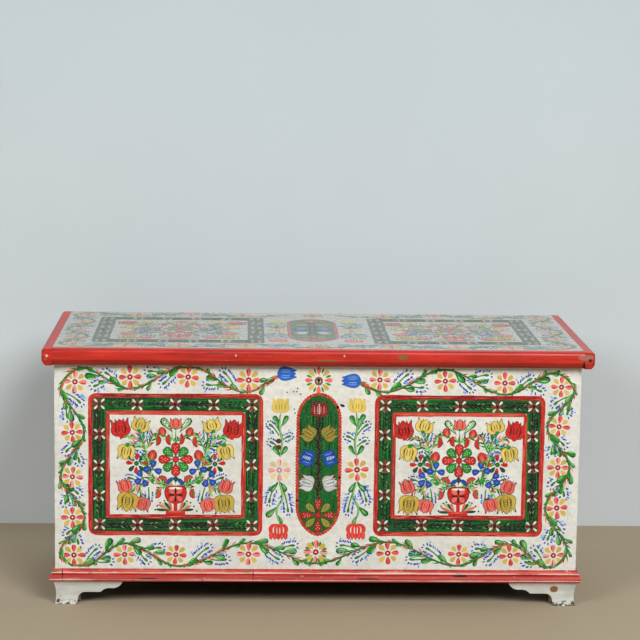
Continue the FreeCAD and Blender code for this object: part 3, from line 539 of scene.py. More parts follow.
class Face:
    """One painted side of the chest and the strokes laid on it, sorted into named groups."""

    def __init__(self, name, body, origin, along, up, field, seed):
        self.name, self.body, self.field = name, body, field
        self.origin, self.along, self.up = (np.array(v, float) for v in (origin, along, up))
        self.out = np.cross(self.along, self.up)
        self.random = np.random.default_rng(seed)
        self.groups, self.flowers, self.panels = {}, [], ()
        self.taken = np.zeros(0, complex)
        self.enlarge()

    def enlarge(self, centre=0j, across=1.0, upward=1.0):
        """Lay the strokes that follow larger, about a place."""
        self.centre, self.across, self.upward = centre, across, upward

    def start(self, group):
        self.strokes = self.groups.setdefault(group, [])

    def shake(self, spread):
        """A small error of the hand, as a place."""
        return complex(*self.random.normal(0.0, spread, 2))

    def vary(self, share):
        """A factor near 1."""
        return 1.0 + self.random.uniform(-share, share)

    def off_flowers(self, places):
        return all(np.abs(places - at).min() > radius for at, radius in self.flowers)

    def free(self, at):
        """Whether a place keeps clear of the panels, the flowers and the edge of the field."""
        off_panels = all(beyond(panel, at) > CLEAR for panel in self.panels)
        return beyond(self.field, at) < -CLEAR and off_panels and self.off_flowers(at)

    def bare(self, at):
        """Whether a place is free and keeps off the stalks, the leaves and earlier dashes too."""
        return self.free(at) and (np.abs(self.taken - at) > DASH_CLEAR).all()

    def room(self, at, heading, length):
        """How long a leaf may be before it meets a panel, a flower or the edge of the field."""
        while length > SHORTEST_LEAF and not self.free(at + heading * length):
            length -= LEAF_STEP
        return length

    def stroke(self, path, widths, colour, coat=0):
        """Lay one stroke, unless it would leave the field or cross a flower."""
        shade = np.array(colour) * self.vary(TONE_SPREAD)
        away = np.asarray(path) - self.centre
        path = self.centre + away.real * self.across + 1j * away.imag * self.upward
        widths = np.asarray(widths) * math.sqrt(self.across * self.upward)
        if (beyond(self.field, path) < 0).all() and self.off_flowers(path):
            self.strokes.append((coat, path, np.maximum(widths, THINNEST), shade))

    def solid(self, places, height):
        flat = places[:, None]
        lifted = self.along * flat.real + self.up * flat.imag + self.out * height
        return self.origin + lifted * MM

    def build(self, material, slot):
        """One mesh for each group, with later coats and later strokes a little higher."""
        for group, strokes in self.groups.items():
            strokes.sort(key=lambda s: s[0])
            points, faces, shades, first = [], [], [], 0
            for number, (coat, path, widths, shade) in enumerate(strokes):
                ahead = np.gradient(path)
                side = 1j * ahead / np.abs(ahead) * widths / 2
                rim = np.concatenate((path - side, (path + side)[::-1]))
                height = FIRST_COAT + COAT * coat + STAGGER * (number % STAGGER_COUNT)
                points += [self.solid(rim, height), self.solid(rim, -SINK)]
                faces.append(slab_faces(len(path)) + first)
                shades.append(np.tile((*shade, 1.0), (2 * len(rim), 1)))
                first += 2 * len(rim)
            self.piece(f"{self.name}_{group}", points, faces, shades, material)

    def piece(self, name, points, faces, shades, material):
        mesh = bpy.data.meshes.new(name)
        points = np.concatenate(points)
        mesh.from_pydata(points.tolist(), [], np.concatenate(faces).tolist())
        shade = mesh.attributes.new("shade", "FLOAT_COLOR", "POINT")
        shade.data.foreach_set("color", np.concatenate(shades).astype(np.float32).ravel())
        flat = np.stack((points @ self.along, points @ self.up), 1)
        flat = (flat - flat.min(0)) / np.ptp(flat, axis=0)
        corners = np.zeros(len(mesh.loops), np.int32)
        mesh.loops.foreach_get("vertex_index", corners)
        spread = mesh.uv_layers.new(name="OFBake")
        spread.data.foreach_set("uv", flat[corners].astype(np.float32).ravel())
        mesh.materials.append(material)
        painted = placed(name, mesh)
        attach(painted, self.body)
        print(f"{name}: {len(mesh.polygons)} faces")


print(f"paint {FIRST_COAT} mm thick, and {COAT} mm more for each coat")

# %% One press of the brush
# Each press holds two powers: how slowly it swells, and how slowly it fades.
PETAL, LEAF, CUP, DASH, HAIR = (1.0, 0.5), (0.85, 0.55), (0.5, 0.85), (0.5, 0.5), (0.35, 1.0)
CLUB, TIP, LOBE, BUD, ROUND = (1.3, 0.42), (0.5, 0.95), (0.8, 0.34), (0.5, 0.6), (0.4, 0.4)
EVEN, FLAT = (0.12, 0.12), (0.0, 0.0)


def eased(count):
    """Shares along a stroke, closer together near its ends, where its shape turns."""
    return (1 - np.cos(np.linspace(0, math.pi, count))) / 2


def leaning(angle):
    """The heading that leans so many degrees to the left of straight along."""
    return np.exp(1j * math.radians(angle))


def sweep(at, heading, length, bend=0.0, count=STROKE_PLACES):
    """Places along an arc that leaves a place in a heading and turns by an angle."""
    turn = 1j * (bend or 1e-6)
    return at + heading * length * (np.exp(turn * eased(count)) - 1) / turn


def pressed(width, press, count):
    """How wide the hairs spread at so many places along a stroke."""
    along = eased(count)
    shape = along ** press[0] * (1 - along) ** press[1]
    return width * shape / shape.max()


def mark(face, at, heading, length, width, colour, press=DASH, bend=0.0, coat=0, count=STROKE_PLACES):
    face.stroke(sweep(at, heading, length, bend, count), pressed(width, press, count), colour, coat)


def petal(face, at, heading, size, root, length, width, colour, press=PETAL, coat=1, aside=0.0,
          bend=0.0, count=STROKE_PLACES):
    """A press outward from the middle of a flower. Where and how large are shares of its size."""
    start = at + heading * size * complex(root, aside)
    mark(face, start, heading, size * length, size * width, colour, press, bend, coat, count)


def dot(face, at, radius, colour, coat=0, count=STROKE_PLACES):
    mark(face, at - radius, 1, 2 * radius, 2 * radius, colour, coat=coat, count=count)


def line(face, path, width, colour, coat=0, press=EVEN):
    face.stroke(path, pressed(width, press, len(path)), colour, coat)


def tried(draw, *settings):
    """Count the strokes of a motif on a practice board that is never built."""
    board = Face("practice", "case", (0, 0, 0), (1, 0, 0), (0, 0, 1), (-999, -999, 999, 999), seed=1)
    board.start("motif")
    draw(board, *settings)
    print(f"{draw.__name__}: {len(board.strokes)} strokes")


tried(dot, 0j, 1.0, (0, 0, 0))

# %% Lines through a few places
def flowing(places, steps=8):
    """A smooth line through a few places, which leaves each in the mean heading of its neighbours."""
    p = np.array(places)
    chords, lengths = np.diff(p), np.abs(np.diff(p))
    slopes = chords / lengths
    inner = slopes[:-1] * lengths[1:] + slopes[1:] * lengths[:-1]
    headings = np.concatenate((slopes[:1], inner / np.abs(inner), slopes[-1:]))
    t = np.linspace(0, 1, steps, endpoint=False)[None, :]
    leave, arrive = (headings[:-1] * lengths)[:, None], (headings[1:] * lengths)[:, None]
    near, far = 1 - 3 * t**2 + 2 * t**3, 3 * t**2 - 2 * t**3
    bends = p[:-1, None] * near + p[1:, None] * far + leave * t * (1 - t) ** 2 - arrive * t**2 * (1 - t)
    return np.append(bends.ravel(), p[-1])


def spaced(path, gap):
    """Places at even steps along a line."""
    travelled = np.concatenate(([0.0], np.cumsum(np.abs(np.diff(path)))))
    count = max(2, int(travelled[-1] / gap) + 1)
    return np.interp(np.linspace(0, travelled[-1], count), travelled, path)


def heading_at(path, k):
    """The direction of a line at one of its places."""
    step = path[min(k + 1, len(path) - 1)] - path[max(k - 1, 0)]
    return step / abs(step)


def mirrored(face, middle, hand, spread):
    """What gives places beside a middle, to the right for hand 1, each with the hand's own error."""
    return lambda x, y: middle + complex(x * hand, y) + face.shake(spread)


print(f"a line through 3 places has {len(flowing((0, 1 + 1j, 2)))} places")

# %% [markdown]
# The paints
# Few pigments were at hand: a red and its paler coral, ochre, leaf green, a strong blue, a dark
# line colour and white. One material serves all strokes of the case, and a more worn one those of
# the lid, whose grey veil is also painted shade and painted reflection. Each stroke carries its
# own colour in an attribute, and noise thins it in places so that the ground shows through, as
# oil paint does.

# %% The painter's colours and the material of the strokes
RED, CORAL, DARK_RED = linear(204, 36, 30), linear(230, 114, 100), linear(118, 18, 18)
OCHRE, YELLOW, OLIVE = linear(216, 186, 90), linear(226, 202, 104), linear(150, 140, 50)
GREEN, PALE_GREEN, DARK_GREEN = linear(32, 146, 46), linear(160, 204, 138), linear(12, 80, 36)
BLUE, PALE_BLUE, DARK_BLUE = linear(22, 82, 184), linear(126, 168, 224), linear(16, 38, 100)
BROWN, BLACK, WHITE = linear(86, 50, 28), linear(22, 18, 18), linear(238, 238, 228)
BAND_GREEN, BAND_DARK, BAND_PALE = linear(4, 88, 34), linear(8, 38, 24), linear(4, 128, 42)
BROWN_RED, EYE_RED, TULIP_INK = linear(122, 34, 30), linear(172, 24, 26), linear(76, 12, 14)
LINEN, UMBER = linear(220, 223, 210), linear(100, 84, 34)
PINK, MINT = linear(240, 172, 160), linear(182, 218, 166)
# The grey of the lid's strokes is worn paint and also painted shade and painted reflection.
WORN_WHITE, WORN_AND_SHADED_GREY = (222, 220, 208), (166, 166, 158)


def blended(first, second, share):
    return tuple(a + (b - a) * share for a, b in zip(first, second))


def brushed_paint(name, roughness, gloss, veil, worn, rubbed_and_painted_light):
    f = Finish(name, rubbed_and_painted_light)
    f.shader.inputs["Specular IOR Level"].default_value = gloss
    shade = f.node("ShaderNodeAttribute", attribute_name="shade").outputs["Color"]
    hairs = f.noise(420, rough=0.7)
    thin = f.noise(230, detail=5, rough=0.7)
    darker = f.mix(1.0, shade, shade, "MULTIPLY")
    f.colour = f.mix(f.between(hairs, 0.3, 0.75, 0.0, 0.34), shade, darker)
    f.cover(f.between(thin, 0.52, 0.8, veil, worn), rubbed_and_painted_light)
    f.bump(hairs, 0.3, 0.0005)
    return f.done(f.between(thin, 0.3, 0.7, roughness - 0.08, roughness + 0.1))


STROKES = brushed_paint("brushed_paint", 0.42, gloss=0.15, veil=0.01, worn=0.2, rubbed_and_painted_light=WORN_WHITE)
# On the lid the strokes are veiled with grey: wear, and painted shade and painted reflection.
STROKES_LID = brushed_paint("brushed_paint_lid", 0.24, gloss=0.5, veil=0.2, worn=0.65, rubbed_and_painted_light=WORN_AND_SHADED_GREY)
print("one paint for the case and a more worn one for the lid")

# %% [markdown]
# Flowers of the border
# The border repeats one rosette: four coral petals, four ochre ones between them, and a red eye
# with a white point. A rosette could be one outline cut from a sheet, but single presses leave the
# white gaps between petals that make it look painted.

# %% Rosette
def rosette(face, at, radius, cross=CORAL, diagonal=OCHRE, eye=EYE_RED, edge=RED, fringe=None):
    lean = leaning(face.random.uniform(-7, 7))
    mood = face.random.uniform(-0.3, 0.5)
    for k in range(4):
        heading = lean * 1j**k
        full = face.vary(0.08)
        share = mood + face.random.uniform(-0.2, 0.2)
        tone = blended(cross, edge if share > 0 else WHITE, abs(share))
        petal(face, at, heading, radius, 0.28, 0.78 * full, 0.45, tone)
        aside = face.random.choice((-0.12, 0.12))
        petal(face, at, heading, radius, 0.28 + 0.12 * full, 0.58 * full, 0.13, edge, coat=2, aside=aside)
        petal(face, at, heading * leaning(45), radius, 0.36, 0.68 * face.vary(0.08), 0.44, diagonal)
        if fringe is not None:
            for turn in (22.5, 67.5):
                petal(face, at, heading * leaning(turn), radius, 0.5, 0.5, 0.2, fringe)
    dot(face, at, radius * 0.26, eye, coat=3)
    dot(face, at, radius * 0.08, WHITE, coat=4)


tried(rosette, 0j, 27)

# %% Leaf and blue spray
DASHES, DOTS = (6.6, 3.9), (4.8, 4.4)
DASH_STEP, FEWEST_DASHES = 5.2, 4
SPRAY_STALK, SPRAY_TIP = 3.4, (-72, -26, 22, 68)
# Length and width of the bulb and of the light on it, and how far behind the tip each starts.
BULB, BULB_LIGHT = (17, 6.4), (12, 4.0)
BULB_BACK, LIGHT_BACK = 13, 9


def leaf(face, at, heading, length, bend=0.0, colour=GREEN, pale=PALE_GREEN):
    """A teardrop leaf on a short stalk: dark edge, green fill and a pale streak."""
    girth = 0.42 * face.vary(0.12)
    face.taken = np.append(face.taken, sweep(at, heading, length, bend))
    petal(face, at, heading, length, 0.0, 1.0, girth, DARK_GREEN, CLUB, 1, bend=bend)
    fill = blended(colour, pale, max(0.0, face.random.uniform(-0.25, 0.35)))
    petal(face, at, heading, length, 0.16, 0.78, girth * 0.72, fill, PETAL, 2, bend=bend * 0.8)
    petal(face, at, heading, length, 0.4, 0.42, girth * 0.2, pale, DASH, 3, girth * 0.08, bend * 0.5, 5)


def spray(face, at, tip, bend=0.0, dash=DASHES, reach=8.0):
    """A green stalk with a bulb at its tip, and dashes of blue set round it in a U."""
    def blue(place, facing, tint):
        mark(face, place, facing, *dash, tint, DASH, coat=2, count=5)

    chord = tip - at
    heading, length = chord / abs(chord) * np.exp(-0.5j * bend), abs(chord)
    stalk = sweep(at, heading, length, bend, 9)
    ahead = heading * np.exp(1j * bend)
    line(face, stalk, SPRAY_STALK, GREEN, coat=1)
    mark(face, stalk[-1] - ahead * BULB_BACK, ahead, *BULB, DARK_GREEN, PETAL, coat=1)
    mark(face, stalk[-1] - ahead * LIGHT_BACK, ahead, *BULB_LIGHT, GREEN, PETAL, coat=2)
    rows = max(FEWEST_DASHES, int(length / DASH_STEP))
    laid = [*stalk]
    for side in (1, -1):
        for k in range(rows):
            share = 0.3 + 0.7 * (k + 0.6) / rows
            facing = heading * np.exp(1j * bend * share)
            here = sweep(at, heading, length * share, bend * share, 2)[-1]
            away = facing * 1j * side * leaning(face.random.uniform(-12, 12))
            place = here + away * reach * face.vary(0.16)
            tint = BLUE if face.random.random() < 0.8 else PALE_BLUE
            if face.bare(place + away * dash[0] / 2):
                laid.append(place + away * dash[0] / 2)
                blue(place, away * leaning(-38 * side), tint)
            if face.random.random() < 0.25:
                outer = place + away * reach * 0.75 + facing * dash[0] * 0.5
                blue(outer, away * leaning(-20 * side), PALE_BLUE)
    for angle in SPRAY_TIP:
        away = ahead * leaning(angle + face.random.uniform(-8, 8))
        blue(stalk[-1] + away * reach, away, BLUE)
    face.taken = np.append(face.taken, laid)


tried(leaf, 0j, 1j, 30)
tried(spray, 0j, 40j)

# %% [markdown]
# The vine
# One stalk waves round the field and passes each rosette on alternate sides. It is a smooth curve
# through a place beside each rosette, and through two places round the outside of a corner, so the
# wave follows the flowers wherever they sit. Leaves, thorns and sprays then grow from the curve at
# fixed shares of each wave.

# %% What grows on the vine
VINE_REACH, CORNER_REACH = 29.0, 30.0
# Share of the wave, lean in degrees and length of each leaf.
VINE_LEAVES = ((0.08, 34, 34), (0.20, -42, 34), (0.38, 52, 30), (0.56, 44, 37), (0.66, -46, 38),
               (0.80, 40, 32), (0.90, -32, 33))
# Share of the wave where a spray starts, how far on and aside its tip is, and its bend.
VINE_SPRAYS = ((0.24, 0.43, -0.52, 0.6), (0.46, 0.68, 0.58, -0.6))
CORNER_LEAVES, CORNER_LEAF = ((0.05, 10), (0.55, 8)), 30
THORN_WIDTH, THORN_BEND = 3.4, 0.6
THORN_LEANS, THORN_LENGTHS = (24, 46), (14, 23)


def thorns(face, run):
    """Slanted hairs on both sides of the stalk."""
    for k in range(len(run) - 1):
        for side in (1, -1):
            if face.random.random() < 0.8:
                colour = (CORAL, RED, GREEN, BROWN_RED)[face.random.integers(4)]
                heading = heading_at(run, k) * leaning(side * face.random.uniform(*THORN_LEANS))
                root = run[k] + (run[k + 1] - run[k]) * face.random.random()
                length = face.room(root, heading, face.random.uniform(*THORN_LENGTHS))
                bend = -THORN_BEND * side
                mark(face, root, heading, length, THORN_WIDTH, colour, HAIR, bend, coat=1, count=5)


def grow(face, run, here, there):
    """Leaves, sprays and thorns on the stalk between two flowers."""
    ahead = (there - here) / abs(there - here)
    out = 1j * ahead
    if ((run[0] - here) / out).real < 0:
        out = -out
    span, end = abs(there - here), len(run) - 1
    lefthand = 1 if (out / ahead).imag > 0 else -1
    thorns(face, run)
    for share, lean, size in VINE_LEAVES:
        k = int(share * end)
        heading = heading_at(run, k) * leaning(lean * lefthand * face.vary(0.2))
        length = face.room(run[k], heading, size * face.vary(0.14))
        leaf(face, run[k], heading, length, -0.014 * lean * lefthand)
    for share, onward, aside, bend in VINE_SPRAYS:
        tip = here + ahead * span * onward + out * VINE_REACH * aside + face.shake(2.0)
        spray(face, run[int(share * end)], tip, bend * lefthand)


def round_corner(face, arc):
    """Hairs and two leaves that lie along the stalk where it turns a corner."""
    thorns(face, arc)
    end = len(arc) - 1
    turn = np.angle(heading_at(arc, end) / heading_at(arc, 0))
    for share, lean in CORNER_LEAVES:
        k = int(share * end)
        heading = heading_at(arc, k) * leaning(math.copysign(lean, turn))
        leaf(face, arc[k], heading, CORNER_LEAF * face.vary(0.1), 0.5 * turn)


print(f"{len(VINE_LEAVES)} leaves and {len(VINE_SPRAYS)} sprays between two flowers")

# %% Vine through a row of rosettes
UP, DOWNWARD, LEFT, RIGHT = 1j, -1j, -1, 1
VINE_STEPS = 14
STALK, STALK_LIGHT, COMPANION = 5.4, 2.6, 3.0
FIRST_LEAVES, FIRST_LEAF = ((4, -48), (7, 50), (11, -40)), 28


def beside(at, normals, side):
    """Where the stalk passes a flower: on either side by turns, and round the outside of a corner."""
    if len(normals) > 1:
        return [at + normal * CORNER_REACH for normal in normals]
    return [at + normals[0] * VINE_REACH * side]


def vine(face, flowers, start, closing, radius=26.5):
    """A stalk that passes the flowers by turns and ends below a closing one, with all its growth."""
    places, stops = [start], []
    for flower in (*flowers, (closing, (DOWNWARD,), 1.0)):
        around = beside(*flower)
        stops.append((len(places), len(places) + len(around) - 1))
        places += around
    onward = math.copysign(VINE_REACH, (closing - start).real)
    path = flowing([*places, places[-1] + onward], VINE_STEPS)
    left, bottom, right, top = face.field
    across = path.real.clip(left + STALK, right - STALK)
    path = across + 1j * path.imag.clip(bottom + STALK, top - STALK)
    line(face, path + 1.5 - 1.5j, COMPANION, BROWN_RED, coat=0)
    line(face, path, STALK, DARK_GREEN, coat=1)
    line(face, path + 0.6 + 0.8j, STALK_LIGHT, GREEN, coat=2)
    centres = [at for at, normals, side in flowers] + [closing]
    face.flowers = [(at, radius * 0.95) for at in centres]
    face.taken = np.append(face.taken, path)
    thorns(face, path[: VINE_STEPS + 1])
    for k, lean in FIRST_LEAVES:
        leaf(face, path[k], heading_at(path, k) * leaning(lean), FIRST_LEAF, -0.012 * lean)
    for (first, last), (after, _), here, there in zip(stops, stops[1:], centres, centres[1:]):
        if last > first:
            round_corner(face, path[first * VINE_STEPS : last * VINE_STEPS + 1])
        grow(face, path[last * VINE_STEPS : after * VINE_STEPS + 1], here, there)
    face.flowers = []
    for at in centres[:-1]:
        rosette(face, at, radius * face.vary(0.06))


tried(vine, [(100j, (UP,), 1), (-120 + 100j, (UP,), -1)], 120 + 100j, -240 + 100j)

# %% The vine of half a field
def by_turns(places, normal, hand, first):
    """Rosettes in a row, which the vine passes on one side and the other."""
    return [(complex(x * hand, y), (normal,), first * (-1) ** k) for k, (x, y) in enumerate(places)]


def wind(face, hand, start, row_top, side, row_foot, closing):
    """Half a border, from the top middle down a side to the foot. side starts and ends at a corner."""
    corner_top, *levels, corner_foot = side
    flowers = by_turns(row_top, UP, hand, (-1) ** len(row_top))
    flowers.append((complex(corner_top[0] * hand, corner_top[1]), (UP, hand), 1))
    flowers += by_turns(levels, hand, hand, -1)
    flowers.append((complex(corner_foot[0] * hand, corner_foot[1]), (hand, DOWNWARD), 1))
    flowers += by_turns(row_foot, DOWNWARD, hand, -1)
    vine(face, flowers, complex(start[0] * hand, start[1]), closing)
    print(f"{face.name}: vine past {len(flowers)} rosettes")


print("two rosettes by turns:", by_turns(((100, 0), (200, 0)), UP, LEFT, 1))

# %% [markdown]
# The framed panels
# Each panel has a green band between two lines, which are red on the case and dark green on the
# lid. The band was pulled with a wide brush in four strokes that overlap at the corners, and its
# hairs left darker and lighter streaks. White and brown flowers with sprigs between them are set
# along it.

# %% Streaks, cross flowers and sprigs on the green band
OUTER_LINE, BAND, INNER_LINE = 10.5, 33.0, 10.0
CROSS_RADIUS, LEAF_PAIR = 16.0, 11
FLOWER_RED, TICK = linear(176, 36, 32), linear(190, 194, 120)


def streaked(face, start, end, width, base, streaks, count):
    """A wide straight brush stroke with the traces of its hairs."""
    ahead = (end - start) / abs(end - start)
    line(face, np.linspace(start, end, 9), width, base, coat=0, press=FLAT)
    for k in range(count):
        a = face.random.uniform(0, 0.85)
        b = min(a + face.random.uniform(0.1, 0.4), 1.0)
        aside = 1j * ahead * width * face.random.uniform(-0.46, 0.46)
        path = start + (end - start) * np.linspace(a, b, 6) + aside
        hair = width * face.random.uniform(0.03, 0.1)
        line(face, path, hair, streaks[face.random.integers(len(streaks))], coat=1, press=HAIR)


def cross_flower(face, at, radius):
    lean = leaning(face.random.uniform(-8, 8))
    for k in range(4):
        heading = lean * 1j**k
        tone = blended(BROWN_RED, FLOWER_RED, face.random.choice((0.0, 0.0, 0.2, 0.8)))
        petal(face, at, heading, radius, 0.12, 0.9, 0.38, tone, LEAF, 3)
        slant = heading * leaning(45)
        petal(face, at, slant, radius, 0.28, 0.85, 0.34, LINEN, PETAL, 4)
        petal(face, at, slant, radius, 0.0, 0.5, 0.1, BLACK, HAIR, 5, count=4)
    dot(face, at, radius * 0.2, BLACK, coat=5)


def sprig(face, start, end, width):
    """Dark leaves and pale ticks in pairs along a short run of the band."""
    ahead = (end - start) / abs(end - start)
    line(face, np.linspace(start, end, 5), 1.8, BLACK, coat=2, press=HAIR)
    pairs = int(abs(end - start) / LEAF_PAIR)
    for k in range(pairs):
        at = start + (end - start) * (k + 0.4) / pairs
        for side in (1, -1):
            lean = ahead * leaning(face.random.uniform(22, 48) * side)
            if face.random.random() < 0.8:
                length = face.random.uniform(0.34, 0.52)
                petal(face, at, lean, width, 0.0, length, 0.12, BLACK, LEAF, 3, count=5)
            if face.random.random() < 0.3:
                tip = at + lean * width * 0.2 + ahead * 3
                mark(face, tip, ahead * leaning(26 * side), width * 0.24, 1.3, TICK, DASH, coat=4, count=5)


tried(cross_flower, 0j, CROSS_RADIUS)
tried(sprig, 0j, 60 + 0j, BAND)

# %% The frame of a panel
FRAME_RED, FRAME_CORAL = linear(196, 40, 32), linear(216, 82, 66)
FRAME_DARK, FRAME_BROWN = linear(152, 26, 22), linear(168, 60, 48)
STREAK_COUNT, OVERLAP, GREEN_LINE = 80, 4, 5
# The tints brushed over a line, and its reds at the top, left, foot and right.
OUTER_REDS = (FRAME_CORAL, FRAME_RED, DARK_RED), (FRAME_DARK, FRAME_RED, FRAME_CORAL, FRAME_RED)
INNER_REDS = (CORAL, FRAME_RED, FRAME_CORAL), (FRAME_CORAL, FRAME_BROWN, FRAME_DARK, FRAME_RED)


def drawn_in(box, inset):
    """A box made smaller by an inset on every side."""
    return box[0] + inset, box[1] + inset, box[2] - inset, box[3] - inset


def rounded(corners, radius):
    """A closed line from the middle of the top round four corners, which start at the upper left."""
    arc = np.exp(1j * np.linspace(math.pi / 2, math.pi, 6)) * radius
    turns = [corner + ((1 - 1j) * radius + arc) * 1j**k for k, corner in enumerate(corners)]
    top = np.array([(corners[0] + corners[-1]) / 2])
    return np.concatenate([top, *turns, top])


def drawn_frame(face, box, inset, radius, width, colour, tints, sides=()):
    """A line drawn round a box, wider here and narrower there, with its own red on each side."""
    left, bottom, right, top = drawn_in(box, inset)
    corners = [complex(left, top), complex(left, bottom), complex(right, bottom), complex(right, top)]
    path = spaced(rounded(corners, radius), 5.0)
    for tone, start, end in zip(sides, corners[-1:] + corners, corners):
        short = (end - start) / abs(end - start) * radius
        line(face, np.linspace(start + short, end - short, 24), width * 0.9, tone, coat=4)
    wander = np.convolve(face.random.normal(0, 1.0, len(path) + 8), np.ones(9) / 9, "valid")
    face.stroke(path, width * (1 + 0.24 * wander), colour, 3)
    for k in range(0, len(path) - 14, 4):
        run = path[k : k + int(face.random.integers(5, 13))]
        tint = tints[face.random.integers(len(tints))]
        line(face, run + face.shake(width * 0.14), width * 0.22, tint, coat=5, press=ROUND)


def row(face, start, end, count, ends=True):
    """Cross flowers at even steps along the band, with a sprig in each gap."""
    places = [start + (end - start) * k / (count - 1) for k in range(count)]
    for k, at in enumerate(places):
        if ends or 0 < k < count - 1:
            cross_flower(face, at + face.shake(1.2), CROSS_RADIUS)
    for at, after in zip(places, places[1:]):
        gap = (after - at) / abs(after - at) * CROSS_RADIUS * 1.1
        sprig(face, at + gap, after - gap, BAND)


def framed(face, box, crosses=5, lined=True):
    """The green band with its flowers, between two lines that are red or, on the lid, dark green."""
    left, bottom, right, top = drawn_in(box, OUTER_LINE + BAND / 2)
    levels = [(complex(left, y), complex(right, y)) for y in (bottom, top)]
    uprights = [(complex(x, bottom), complex(x, top)) for x in (left, right)]
    for start, end in levels[::-1] + uprights:
        past = (end - start) / abs(end - start) * BAND / 2
        tones = (BAND_DARK, BAND_DARK, BAND_PALE)
        streaked(face, start - past, end + past, BAND + OVERLAP, BAND_GREEN, tones, STREAK_COUNT)
    inner = OUTER_LINE + BAND
    if lined:
        drawn_frame(face, box, OUTER_LINE / 2, 14, OUTER_LINE, FRAME_RED, *OUTER_REDS)
        drawn_frame(face, box, inner + INNER_LINE / 2, 4, INNER_LINE, FRAME_RED, *INNER_REDS)
    else:
        drawn_frame(face, box, OUTER_LINE - 2, 8, GREEN_LINE, BAND_DARK, (BAND_DARK, BAND_GREEN))
        drawn_frame(face, box, inner + 2, 4, GREEN_LINE, BAND_DARK, (BAND_DARK, BAND_GREEN))
    for start, end in levels:
        row(face, start, end, crosses)
    for start, end in uprights:
        row(face, start, end, crosses, ends=False)


tried(framed, (-210, -180, 210, 180))

# %% [markdown]
# The flowers of the bouquet
# A footed cup in each panel carries a bouquet that mirrors itself. Its tulips are five presses that
# start near the foot of the flower and close at pointed tips, each in a dark ink first and then in
# its own colour. Drawing one half and its mirror keeps the balance, and the shake of the hand keeps
# the halves from being copies.

# %% Tulip
OUTLINE = 2.6
# How high and how far out a side petal runs, as shares of the size. The flare is its tip.
TULIP_BULGE = ((0.0, 0.0), (0.24, 0.36), (0.62, 0.38))
SIDE_PETAL, MIDDLE_PETAL = (0.5, 0.75), (0.5, 0.72)


def outlined(face, path, widths, cloth, ink, coat):
    """A petal laid in ink and then, a little narrower and shorter, in its own colour."""
    face.stroke(path, widths + OUTLINE, ink, coat)
    face.stroke(path[:-1], widths[:-1], cloth, coat + 1)


def tulip(face, at, heading, size, cloth, ink, shine, ticks=None, ball=None, girth=1.0, crown=0,
          flare=0.54):
    """A tulip from the foot of its cup: a middle petal, two that flare to points, and two behind."""
    for side in (1, -1):
        aside = 1j * heading * side * size * girth
        back, lean = at + heading * size * 0.2 + aside * 0.14, heading * leaning(7 * side)
        mark(face, back, lean, size * 0.84, size * 0.3, ink, TIP, coat=1)
        mark(face, back, lean, size * 0.8, size * 0.3 - OUTLINE, cloth, TIP, coat=2)
        bulge = (*TULIP_BULGE, (1.02, flare))
        outer = flowing([at + heading * size * rise + aside * out for rise, out in bulge], 4)
        outlined(face, outer, pressed(size * 0.38 * girth, SIDE_PETAL, len(outer)), cloth, ink, 3)
        line(face, outer[3:10] - aside * 0.07, size * 0.07, shine, coat=5, press=DASH)
    for k in range(crown):
        aside = girth * 0.86 * (k / (crown - 1) - 0.5)
        petal(face, at, heading, size, 0.56, 0.56, 0.32, cloth, TIP, 5, aside)
        petal(face, at, heading, size, 0.56, 0.4, 0.06, ink, DASH, 6, aside, count=5)
    middle = sweep(at + heading * size * 0.05, heading, size * 0.98 * face.vary(0.06), 0, 9)
    outlined(face, middle, pressed(size * 0.5 * girth, MIDDLE_PETAL, 9), cloth, ink, 6)
    for aside in (-0.1, 0.1):
        petal(face, middle[2], heading, size, 0.0, 0.5, 0.06, shine, DASH, 8, aside, count=5)
    if ticks is not None:
        for k in range(5):
            tick = at + heading * size * complex(0.26 + 0.12 * k, -0.09)
            mark(face, tick, 1j * heading * leaning(-20), size * 0.18, 1.8, ticks, DASH, coat=9, count=5)
    if ball is not None:
        dot(face, at, size * 0.15, ball, coat=9)


tried(tulip, 0j, 1j, 40, RED, DARK_RED, CORAL)

# %% Bud, hook and small flowers
STREAK, SPECK = 1.6, 1.3
STAR_SPECKS = ((0.36, 0.0), (0.52, 0.07), (0.54, -0.06), (0.68, 0.01), (0.75, 0.11), (0.79, -0.09))


def bud(face, at, heading, size, cloth=RED, ink=DARK_RED):
    """A closed bud with stripes along it and two small sepals."""
    mark(face, at, heading, size, size * 0.86, ink, BUD, coat=2)
    mark(face, at + heading, heading, size * 0.92, size * 0.72, cloth, BUD, coat=3)
    for lean in (-24, 0, 24):
        stripe = at + heading * size * 0.1
        mark(face, stripe, heading * leaning(lean), size * 0.8, 2.4, CORAL, HAIR, -lean * 0.02, 4, 5)
    for lean in (-50, 50):
        sepal = heading * leaning(lean)
        mark(face, at - heading * 2, sepal, size * 0.5, 4, GREEN, HAIR, -lean * 0.012, 5, 5)


def hook(face, at, heading, length, bend, colour=RED, ink=DARK_RED):
    """A petal in the shape of a C, with a dark outer edge and a green tuft inside the curve."""
    arc = sweep(at, heading, length, bend, 9)
    open_side = (arc[0] + arc[-1]) / 2
    for tip in arc[2:7:2]:
        reach = tip - open_side
        mark(face, open_side, reach / abs(reach), abs(reach), 3.6, GREEN, HAIR, coat=2, count=5)
    mark(face, at, heading, length, length * 0.34, ink, ROUND, bend, coat=3, count=9)
    mark(face, at, heading, length * 0.95, length * 0.25, colour, ROUND, bend, coat=4, count=9)


def wedge_flower(face, at, heading, size, fan):
    """Three wide-ended blue petals that stand apart, spread over part of a turn."""
    for turn in (-0.5, 0.0, 0.5):
        away = heading * leaning(fan * turn + face.random.uniform(-9, 9))
        petal(face, at, away, size, 0.12, 0.88, 0.72, DARK_BLUE, LOBE, 2)
        petal(face, at, away, size, 0.18, 0.76, 0.6, BLUE, LOBE, 3)
        petal(face, at, away, size, 0.5, 0.3, STREAK / size, PALE_BLUE, DASH, 4, count=5)
    dot(face, at, size * 0.14, GREEN, coat=4)


